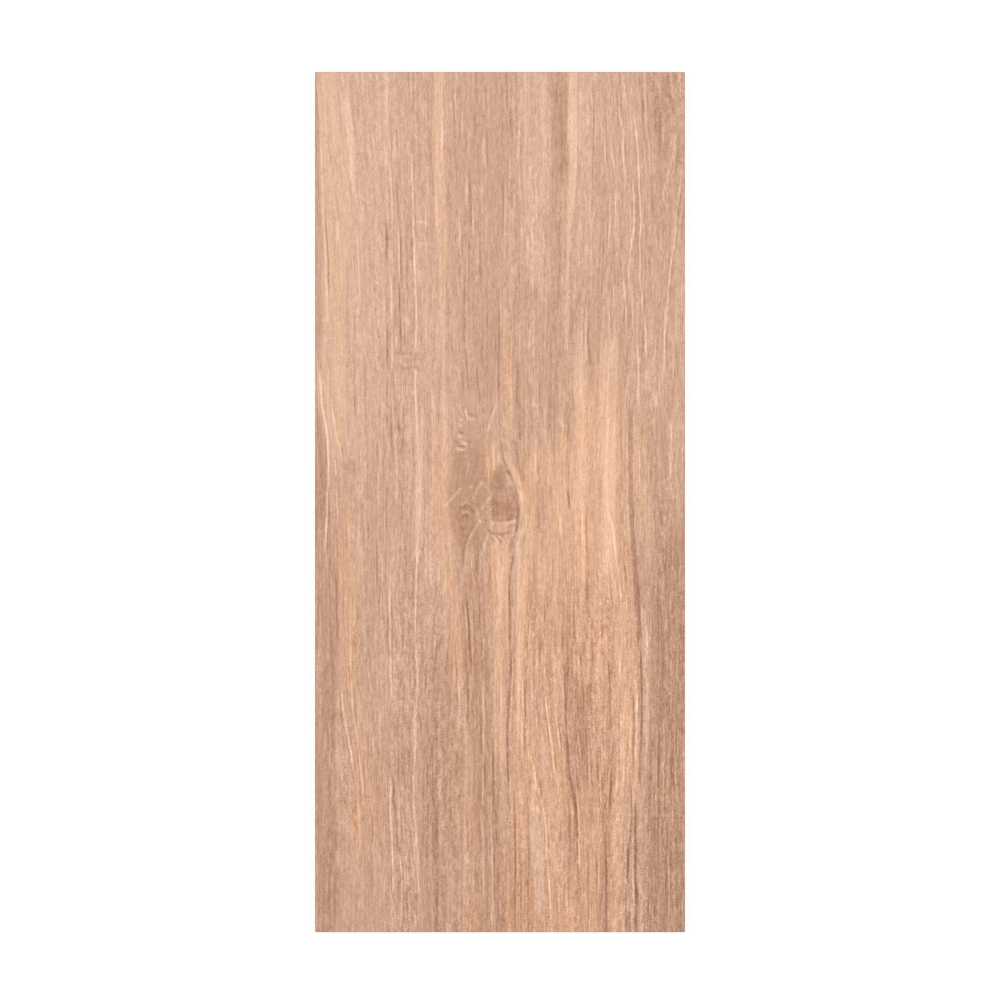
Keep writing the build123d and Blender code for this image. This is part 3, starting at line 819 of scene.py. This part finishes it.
# Mesh of the printed face: columns are close together, rows only where marks cross the grain
COLUMN_STEP = 0.58
ROW_STEP = 5.8
FINE_STRETCHES = ((103, 121, 1.6), (190, 211, 1.6), (231, 283, 1.3), (283, 330, 0.8), (514, 522, 1.6))

# Emboss, in millimetres: depth of the face's general level and of a streak, for each step of its tone
EMBOSS_LEVEL = 0.12
EMBOSS_STEP = 0.003
EMBOSS_RIM = 2.5

# Painted shade over the bevel: tone taken from the print there and warmth added to it, so the bevel reads darker and
# browner than the face
BEVEL_PAINTED_SHADE = 16.0
BEVEL_PAINTED_SHADE_WARMTH = 2.5


def even_steps(first, last, step):
    """Places from first up to last in equal steps of about the given size, without the last."""
    return np.linspace(first, last, max(2, round((last - first) / step) + 1))[:-1]


class TileShape:
    """Levels and edges of the tile's solid, read from its node."""

    def __init__(self):
        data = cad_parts[NODE].data
        places = np.zeros(len(data.vertices) * 3)
        data.vertices.foreach_get("co", places)
        data.calc_loop_triangles()
        corners = np.zeros(len(data.loop_triangles) * 3, int)
        data.loop_triangles.foreach_get("vertices", corners)
        # the node's faces don't share vertices, so equal places are joined
        rounded = np.round(places.reshape(-1, 3), 7)
        self.places, index = np.unique(rounded, axis=0, return_inverse=True)
        self.triangles = index.reshape(-1)[corners].reshape(-1, 3)
        low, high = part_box(NODE)
        self.half_width = high.x
        self.half_length = high.y
        self.top = high.z
        on_top = self.places[:, 2] > self.top - 1e-6
        self.face_half_width = self.places[on_top, 0].max()
        self.face_half_length = self.places[on_top, 1].max()
        on_side = self.places[:, 0] > self.half_width - 1e-6
        self.wall_top = self.places[on_side, 2].max()
        self.wall_foot = self.places[on_side, 2].min()


def face_grid(shape):
    """Columns and rows of the face's mesh, in millimetres across and down."""
    bevel_across = (shape.half_width - shape.face_half_width) / MM
    bevel_down = (shape.half_length - shape.face_half_length) / MM
    width = 2 * shape.half_width / MM
    length = 2 * shape.half_length / MM
    across = np.append(even_steps(bevel_across, width - bevel_across, COLUMN_STEP), width - bevel_across)
    rows = []
    start = bevel_down
    for fine_from, fine_to, fine_step in FINE_STRETCHES:
        if fine_from > start:
            rows.append(even_steps(start, fine_from, ROW_STEP))
        rows.append(even_steps(fine_from, fine_to, fine_step))
        start = fine_to
    rows += [even_steps(start, length - bevel_down, ROW_STEP), [length - bevel_down]]
    down = np.concatenate(rows)
    return across, down


def fan(wall, foot_first, foot_last):
    """Triangles from a wall's upper row of vertices down to its two lower corners."""
    middle = len(wall) // 2
    faces = [(wall[i], wall[i + 1], foot_first) for i in range(middle)]
    faces.append((wall[middle], foot_last, foot_first))
    faces += [(wall[i], wall[i + 1], foot_last) for i in range(middle, len(wall) - 1)]
    return faces


def build_tile(shape):
    """The whole tile as one closed mesh: embossed face, bevel, walls and the solid's own back."""
    across, down = face_grid(shape)
    rows, columns = len(down), len(across)
    wash, lines, marks, warmth, knot = figure(across, down)

    # printed face, embossed in register with its streaks
    x = across * MM - shape.half_width
    y = shape.half_length - down * MM
    rim_gap = np.minimum(
        np.minimum(across - across[0], across[-1] - across)[None, :],
        np.minimum(down - down[0], down[-1] - down)[:, None],
    )
    depth = np.clip(EMBOSS_LEVEL - EMBOSS_STEP * (lines + marks), 0, None) * ease(rim_gap / EMBOSS_RIM)
    face = np.zeros((rows, columns, 3))
    face[:, :, 0] = x[None, :]
    face[:, :, 1] = y[:, None]
    face[:, :, 2] = shape.top - depth * MM
    number = np.arange(rows * columns).reshape(rows, columns)
    quads = np.stack((number[:-1, :-1], number[1:, :-1], number[1:, 1:], number[:-1, 1:]), axis=-1).reshape(-1, 4)

    # the rim of the face, anticlockwise from above, and the ring below its bevel
    sides = (number[:, 0], number[-1, :], number[::-1, -1], number[0, ::-1])
    rim = np.concatenate([side[:-1] for side in sides])
    ring_places = face.reshape(-1, 3)[rim].copy()
    on_x = np.abs(ring_places[:, 0]) > shape.face_half_width - 1e-6
    on_y = np.abs(ring_places[:, 1]) > shape.face_half_length - 1e-6
    ring_places[on_x, 0] = np.sign(ring_places[on_x, 0]) * shape.half_width
    ring_places[on_y, 1] = np.sign(ring_places[on_y, 1]) * shape.half_length
    ring_places[:, 2] = shape.wall_top
    ring = rows * columns + np.arange(len(rim))
    bevel = [
        (rim[i - 1], ring[i - 1], ring[i], rim[i])
        for i in range(len(rim))
    ]

    # the solid's own back, from the foot of the walls down
    is_back = shape.places[shape.triangles][:, :, 2].max(axis=1) < shape.wall_foot + 1e-6
    back_used, back_index = np.unique(shape.triangles[is_back], return_inverse=True)
    back_start = rows * columns + len(ring)
    back = (back_index.reshape(-1, 3) + back_start).tolist()
    back_places = shape.places[back_used]

    def foot(side_x, side_y):
        """Number of the vertex at one lower corner of the walls."""
        corner = np.array((side_x * shape.half_width, side_y * shape.half_length, shape.wall_foot))
        return back_start + int(np.argmin(np.linalg.norm(back_places - corner, axis=1)))

    starts = np.cumsum([0] + [len(side) - 1 for side in sides])
    corner_signs = ((-1, 1), (-1, -1), (1, -1), (1, 1))
    walls = []
    for i in range(4):
        upper = ring[np.arange(starts[i], starts[i + 1] + 1) % len(ring)]
        walls += fan(upper[::-1], foot(*corner_signs[(i + 1) % 4]), foot(*corner_signs[i]))

    places = np.concatenate((face.reshape(-1, 3), ring_places, back_places))
    faces = quads.tolist() + bevel + walls + back
    mesh = bpy.data.meshes.new("tile")
    mesh.from_pydata(places.tolist(), [], faces)
    is_printed = np.arange(len(faces)) < len(quads) + len(bevel)
    mesh.polygons.foreach_set("material_index", np.where(is_printed, 0, 1).astype(np.int32))
    mesh.polygons.foreach_set("use_smooth", np.arange(len(faces)) < len(quads))
    fibre = np.stack((grain_coordinate(across, down), down[:, None] + 0 * wash, grain_strength(across, down, wash)), axis=-1)
    add_attribute(mesh, "fibre", fibre, rim)
    drawn = np.stack((wash + marks, lines, warmth), axis=-1)
    # the bevel's print gets painted shade: lower tone and more warmth than the face beside it
    add_attribute(mesh, "figure", drawn, rim, painted_shade=(BEVEL_PAINTED_SHADE, 0, -BEVEL_PAINTED_SHADE_WARMTH))
    add_attribute(mesh, "knot", np.stack((knot, knot, knot), axis=-1), rim)
    add_bake_map(mesh, shape, len(quads))
    mark_rim_sharp(mesh, set(rim.tolist()))
    mesh.update()
    mesh.validate(verbose=False)
    tile = bpy.data.objects.new("tile", mesh)
    bpy.context.scene.collection.objects.link(tile)
    return tile


def add_attribute(mesh, name, values, rim, painted_shade=(0, 0, 0)):
    """Stores values for the print's shader on the face's vertices, and the rim's below its bevel, less the painted
    shade given there.
    """
    flat = values.reshape(-1, 3)
    stored = np.zeros((len(mesh.vertices), 3), np.float32)
    stored[:len(flat)] = flat
    # painted shade on the bevel: the ring below it takes the shade off the rim's values
    stored[len(flat):len(flat) + len(rim)] = flat[rim] - painted_shade
    layer = mesh.attributes.new(name, "FLOAT_VECTOR", "POINT")
    layer.data.foreach_set("vector", stored.ravel())


def add_bake_map(mesh, shape, face_count):
    """A flat map of the whole surface in which the printed face takes most of the room."""
    layer = mesh.uv_layers.new(name="OFBake")
    loops = np.zeros(len(mesh.loops), np.int32)
    mesh.loops.foreach_get("vertex_index", loops)
    places = np.zeros(len(mesh.vertices) * 3)
    mesh.vertices.foreach_get("co", places)
    places = places.reshape(-1, 3)[loops]
    owner = np.repeat(np.arange(len(mesh.polygons)), [p.loop_total for p in mesh.polygons])
    normals = np.array([p.normal for p in mesh.polygons])[owner]
    share_x = (places[:, 0] / shape.half_width + 1) / 2
    share_y = (places[:, 1] / shape.half_length + 1) / 2
    share_z = places[:, 2] / shape.top
    uv = np.zeros((len(loops), 2))
    uv[:, 1] = 0.01 + 0.98 * share_y
    printed = owner < face_count
    uv[printed, 0] = 0.01 + 0.66 * share_x[printed]
    below = ~printed & (normals[:, 2] < -0.5)
    uv[below, 0] = 0.69 + 0.22 * share_x[below]
    wall = ~printed & ~below
    uv[wall, 0] = 0.93 + 0.015 * share_z[wall]
    uv[wall & (normals[:, 0] > 0.5), 0] += 0.02
    ends = wall & (np.abs(normals[:, 1]) > 0.5)
    uv[ends, 0] += 0.04
    uv[ends, 1] = 0.01 + 0.45 * share_x[ends]
    uv[ends & (normals[:, 1] > 0), 1] += 0.5
    layer.data.foreach_set("uv", uv.astype(np.float32).ravel())


def mark_rim_sharp(mesh, rim):
    """Keeps the face's smooth shading from running over the bevel."""
    pairs = np.zeros(len(mesh.edges) * 2, np.int32)
    mesh.edges.foreach_get("vertices", pairs)
    on_rim = np.isin(pairs, list(rim)).reshape(-1, 2).all(axis=1)
    layer = mesh.attributes.new("sharp_edge", "BOOLEAN", "EDGE")
    layer.data.foreach_set("value", on_rim)


class Shader:
    """A material and short ways to add nodes to it."""

    def __init__(self, name):
        self.material = bpy.data.materials.new(name)
        self.material.use_nodes = True
        self.tree = self.material.node_tree
        self.surface = self.tree.nodes["Principled BSDF"]

    def add(self, kind, values=(), output=0, **settings):
        """Adds a node, sets its options and inputs, and returns one output."""
        node = self.tree.nodes.new(kind)
        for key, value in settings.items():
            setattr(node, key, value)
        for key, value in dict(values).items():
            self.put(node.inputs[key], value)
        return node.outputs[output]

    def put(self, socket, value):
        """Links an output to an input, or sets the input's value."""
        if isinstance(value, bpy.types.NodeSocket):
            self.tree.links.new(value, socket)
        else:
            socket.default_value = value

    def math(self, operation, first, second=0.0, third=0.0, clamp=False):
        """One step of arithmetic."""
        values = {0: first, 1: second, 2: third}
        return self.add("ShaderNodeMath", values, operation=operation, use_clamp=clamp)

    def noise(self, vector, detail=2.0, roughness=0.5):
        """Noise from 0 to 1 about a mean of a half, one cell for each unit of the vector."""
        values = {"Vector": vector, "Scale": 1.0, "Detail": detail, "Roughness": roughness}
        return self.add("ShaderNodeTexNoise", values)

    def swing(self, value, amount):
        """A value about a half, turned into a swing about zero."""
        return self.math("MULTIPLY_ADD", value, amount, -0.5 * amount)

    def total(self, *values):
        """Sum of several outputs."""
        result = values[0]
        for value in values[1:]:
            result = self.math("ADD", result, value)
        return result


# Grain of the print: cell across and along in millimetres, swing in steps of tone
GRAIN_LAYERS = (
    (6.0, 160.0, 10.0),
    (3.0, 100.0, 16.0),
    (1.4, 75.0, 45.0),
    (1.3, 15.0, 46.0),
    (1.2, 4.0, 62.0),
)
SPECKLE_CELL = 0.8
SPECKLE_SWING = 92.0

# Blotches that take the grain's place in the knot: cell in millimetres, swing in steps of tone
KNOT_LAYERS = ((4.0, 50.0), (1.5, 70.0))
KNOT_SHARE = 0.5

# Stray hairlines and dashes of the grain: cell across and along, tone of a strong one
STRAY_LAYERS = ((1.25, 42.0, 29.0), (1.15, 13.0, 19.0))
STRAY_LEVEL = 0.3  # swing of the noise that gives a strong one

PATCHY_GRAIN = 1.1  # how much the grain's strength varies from place to place
BROKEN_CELLS = ((2.0, 25.0), (1.6, 6.0))  # breaks in the drawn lines, across and along
BROKEN_STREAKS = 0.9
WARMTH_SWING = 1.2  # how much the warmth varies along the grain
PORE_GREY = 0.009  # how much warmth is lost for each step of tone that grain or hairlines darken

# Green and blue of the print for each step of its red, how far they lie below it, and how much further in warm wood
GREEN_GAIN, BLUE_GAIN = 1.05, 1.05
GREEN_DROP, BLUE_DROP = 55.2, 80.9
WARM_GREEN_DROP, WARM_BLUE_DROP = 7.4, 16.4


def print_material():
    """Matt printed glaze: the drawn figure, broken up by grain that runs along it."""
    shader = Shader("printed_glaze")
    fibre = shader.add("ShaderNodeAttribute", attribute_name="fibre", output=1)
    drawn = shader.add("ShaderNodeAttribute", attribute_name="figure", output=1)
    grain = shader.tree.nodes.new("ShaderNodeSeparateXYZ")
    shader.put(grain.inputs[0], fibre)
    tones = shader.tree.nodes.new("ShaderNodeSeparateXYZ")
    shader.put(tones.inputs[0], drawn)

    def grain_noise(cell_across, cell_along, depth):
        """Noise stretched along the grain."""
        vector = shader.add("ShaderNodeCombineXYZ", {
            "X": shader.math("DIVIDE", grain.outputs["X"], cell_across),
            "Y": shader.math("DIVIDE", grain.outputs["Y"], cell_along),
            "Z": depth,
        })
        return shader.noise(vector, detail=1.0)

    def spread(value, amount):
        """Noise turned into a factor about one."""
        return shader.math("MULTIPLY_ADD", value, amount, 1 - amount / 2)

    swings = []
    for i, (cell_across, cell_along, swing) in enumerate(GRAIN_LAYERS):
        swings.append(shader.swing(grain_noise(cell_across, cell_along, 7.3 * (i + 1)), swing))

    def even_noise(cell):
        """Noise with cells as long as they are wide."""
        place = shader.add("ShaderNodeVectorMath", {0: fibre, 3: 1 / cell}, operation="SCALE")
        return shader.noise(place, detail=1.0)

    for i, (cell_across, cell_along, tone) in enumerate(STRAY_LAYERS):
        stray = shader.swing(grain_noise(cell_across, cell_along, 53.0 + 5.7 * i), 1 / STRAY_LEVEL)
        stray = shader.math("MULTIPLY", shader.math("MULTIPLY", stray, stray), stray)
        swings.append(shader.math("MULTIPLY", stray, tone))

    in_knot = shader.add("ShaderNodeAttribute", attribute_name="knot", output=2)
    in_knot = shader.math("MULTIPLY", in_knot, KNOT_SHARE)
    blotches = shader.total(*[shader.swing(even_noise(cell), swing) for cell, swing in KNOT_LAYERS])
    streaky = shader.math("MULTIPLY", shader.total(*swings), shader.math("SUBTRACT", 1.0, in_knot))
    speckle = shader.swing(even_noise(SPECKLE_CELL), SPECKLE_SWING)
    swings = (streaky, shader.math("MULTIPLY", blotches, in_knot), speckle)
    strength = shader.math("MULTIPLY", grain.outputs["Z"], spread(grain_noise(6.0, 90.0, 71.0), PATCHY_GRAIN))
    texture = shader.math("MULTIPLY", shader.total(*swings), strength)
    streaks = tones.outputs["Y"]
    for i, cell in enumerate(BROKEN_CELLS):
        streaks = shader.math("MULTIPLY", streaks, spread(grain_noise(*cell, 91.0 + i), BROKEN_STREAKS))
    level = shader.total(tones.outputs["X"], streaks, texture)
    warmth_noise = shader.swing(grain_noise(5.0, 60.0, 83.0), WARMTH_SWING)
    darkening = shader.math("MINIMUM", shader.math("ADD", streaks, texture), 0.0)
    warmth_lost = shader.math("MULTIPLY", darkening, PORE_GREY)
    warmth = shader.total(tones.outputs["Z"], warmth_noise, warmth_lost)
    warmth = shader.math("MAXIMUM", warmth, 0.0)
    red = shader.math("MULTIPLY", level, 1 / 255)
    below_red = shader.math("MULTIPLY_ADD", warmth, WARM_GREEN_DROP / 255, GREEN_DROP / 255)
    green = shader.math("SUBTRACT", shader.math("MULTIPLY", red, GREEN_GAIN), below_red)
    below_red = shader.math("MULTIPLY_ADD", warmth, WARM_BLUE_DROP / 255, BLUE_DROP / 255)
    blue = shader.math("SUBTRACT", shader.math("MULTIPLY", red, BLUE_GAIN), below_red)
    mixed = shader.add("ShaderNodeCombineColor", {"Red": red, "Green": green, "Blue": blue})
    shader.put(shader.surface.inputs["Base Color"], shader.add("ShaderNodeGamma", {"Color": mixed, "Gamma": 2.2}))
    gloss = {"Value": level, "From Min": 170.0, "From Max": 250.0, "To Min": 0.62, "To Max": 0.48}
    shader.put(shader.surface.inputs["Roughness"], shader.add("ShaderNodeMapRange", gloss))
    shader.put(shader.surface.inputs["Specular IOR Level"], 0.3)
    relief = {"Height": texture, "Strength": 1.0, "Distance": EMBOSS_STEP * MM}
    shader.put(shader.surface.inputs["Normal"], shader.add("ShaderNodeBump", relief))
    return shader.material


# Porcelain body: colours of its speckle, of its dark flecks and of the kiln wash that dusts the rib crests
BODY_DARK, BODY_PALE = (0.58, 0.48, 0.38, 1), (0.70, 0.60, 0.49, 1)
FLECK_COLOUR = (0.36, 0.27, 0.20, 1)
WASH_COLOUR = (0.80, 0.77, 0.71, 1)
WASH_HEIGHT = 0.00025
GROUND_FROM, GROUND_TO = 0.0009, 0.0011  # heights over which the pressed back gives way to the ground sides


def body_material():
    """Pressed and fired porcelain: mineral speckle and flecks, kiln wash on the rib crests and ground sides."""
    shader = Shader("porcelain_body")
    place = shader.add("ShaderNodeTexCoord", output=3)
    height = shader.add("ShaderNodeSeparateXYZ", {0: place}, output=2)

    def noise(scale, detail=2.0):
        """Noise in the tile's own frame, with cells of one metre over the scale."""
        return shader.add("ShaderNodeTexNoise", {"Vector": place, "Scale": scale, "Detail": detail})

    def remap(value, first, last, low, high):
        """A value between first and last turned into one between low and high."""
        limits = {"Value": value, "From Min": first, "From Max": last, "To Min": low, "To Max": high}
        return shader.add("ShaderNodeMapRange", limits)

    def blend(share, first, second):
        """Two colours mixed by a share."""
        values = {0: share, 6: first, 7: second}
        return shader.add("ShaderNodeMix", values, output=2, data_type="RGBA")

    grit = noise(900.0, detail=3.0)
    clouds = noise(24.0)
    stretched = shader.add("ShaderNodeVectorMath", {0: place, 1: (30.0, 30.0, 5000.0)}, operation="MULTIPLY")
    scratches = shader.noise(stretched, detail=1.0)
    on_side = remap(height, GROUND_FROM, GROUND_TO, 0.0, 1.0)
    ground = shader.math("MULTIPLY", on_side, shader.swing(scratches, 1.0))
    tone = shader.total(grit, shader.swing(clouds, 0.5), shader.math("MULTIPLY", ground, 0.7))
    colour = blend(remap(tone, 0.3, 0.7, 0.0, 1.0), BODY_DARK, BODY_PALE)
    colour = blend(remap(noise(1300.0, detail=0.0), 0.7, 0.78, 0.0, 0.8), colour, FLECK_COLOUR)
    crest = remap(height, 0.0, WASH_HEIGHT, 1.0, 0.0)
    dusting = shader.math("MULTIPLY", crest, remap(noise(120.0, detail=4.0), 0.42, 0.58, 0.15, 0.85))
    colour = blend(dusting, colour, WASH_COLOUR)
    shader.put(shader.surface.inputs["Base Color"], colour)
    shader.put(shader.surface.inputs["Roughness"], remap(grit, 0.3, 0.7, 0.86, 0.68))
    shader.put(shader.surface.inputs["Specular IOR Level"], 0.3)
    relief = {"Height": shader.total(grit, ground), "Strength": 0.6, "Distance": 0.05 * MM}
    shader.put(shader.surface.inputs["Normal"], shader.add("ShaderNodeBump", relief))
    return shader.material


# Studio: softboxes to both sides, as over a copy stand, and an even fill
SOFTBOX_SIZE = 1.4
SOFTBOX_OUT = 1.6
SOFTBOX_UP = 1.6
SOFTBOX_POWER = 23.2
FILL_STRENGTH = 0.37
FLOOR_SIZE = 12.0
FLOOR_GLOW = 0.75
LENS = 120.0
SENSOR = 36.0


def seen_directly(shader):
    """1 on rays that show the background itself, in the camera, a reflection or through glass, and else 0."""
    path = shader.tree.nodes.new("ShaderNodeLightPath")
    seen = shader.math("MAXIMUM", path.outputs["Is Camera Ray"], path.outputs["Is Glossy Ray"])
    return shader.math("MAXIMUM", seen, path.outputs["Is Transmission Ray"])


def add_floor():
    """Pale floor that reads as white and still takes the tile's shadow."""
    half = FLOOR_SIZE / 2
    mesh = bpy.data.meshes.new("floor")
    mesh.from_pydata([(-half, -half, 0), (half, -half, 0), (half, half, 0), (-half, half, 0)], [], [(0, 1, 2, 3)])
    floor = bpy.data.objects.new("floor", mesh)
    floor.location.z = -0.0002
    bpy.context.scene.collection.objects.link(floor)
    shader = Shader("pale_floor")
    shader.put(shader.surface.inputs["Base Color"], (0.35, 0.35, 0.35, 1))
    shader.put(shader.surface.inputs["Roughness"], 0.9)
    shader.put(shader.surface.inputs["Specular IOR Level"], 0.0)
    shader.put(shader.surface.inputs["Emission Color"], (1, 1, 1, 1))
    glow = shader.math("MULTIPLY", seen_directly(shader), FLOOR_GLOW)
    shader.put(shader.surface.inputs["Emission Strength"], glow)
    mesh.materials.append(shader.material)


def add_lights(top):
    """Two softboxes aimed at the tile, and a world that fills evenly and shows as white."""
    for side in (-1, 1):
        lamp = bpy.data.lights.new("softbox", "AREA")
        lamp.size = SOFTBOX_SIZE
        lamp.energy = SOFTBOX_POWER
        box = bpy.data.objects.new("softbox", lamp)
        box.location = (side * SOFTBOX_OUT, 0, top + SOFTBOX_UP)
        box.rotation_euler = (0, side * np.arctan2(SOFTBOX_OUT, SOFTBOX_UP), 0)
        bpy.context.scene.collection.objects.link(box)
    world = bpy.data.worlds.new("studio")
    world.use_nodes = True
    bpy.context.scene.world = world
    tree = world.node_tree
    path = tree.nodes.new("ShaderNodeLightPath")
    seen = path.outputs["Is Camera Ray"]
    for name in ("Is Glossy Ray", "Is Transmission Ray"):
        either = tree.nodes.new("ShaderNodeMath")
        either.operation = "MAXIMUM"
        tree.links.new(seen, either.inputs[0])
        tree.links.new(path.outputs[name], either.inputs[1])
        seen = either.outputs[0]
    strength = tree.nodes.new("ShaderNodeMapRange")
    strength.inputs["To Min"].default_value = FILL_STRENGTH
    strength.inputs["To Max"].default_value = 1.0
    tree.links.new(seen, strength.inputs["Value"])
    tree.nodes["Background"].inputs["Color"].default_value = (1, 1, 1, 1)
    tree.links.new(strength.outputs[0], tree.nodes["Background"].inputs["Strength"])


def add_camera(shape):
    """Straight down on the face, framed as in the photograph."""
    data = bpy.data.cameras.new("camera")
    data.lens = LENS
    data.sensor_width = SENSOR
    view_side = 2 * shape.half_length * PHOTO_SIDE / PHOTO_TILE_LENGTH
    camera = bpy.data.objects.new("camera", data)
    camera.location.y = (PHOTO_TILE_CENTRE_DOWN / PHOTO_SIDE - 0.5) * view_side
    camera.location.z = shape.top + view_side * LENS / SENSOR
    bpy.context.scene.collection.objects.link(camera)
    bpy.context.scene.camera = camera


shape = TileShape()
tile = build_tile(shape)
tile.data.materials.append(print_material())
tile.data.materials.append(body_material())
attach(tile, "root")
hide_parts(NODE)
add_floor()
add_lights(shape.top)
add_camera(shape)
bpy.context.scene.view_settings.view_transform = "Standard"
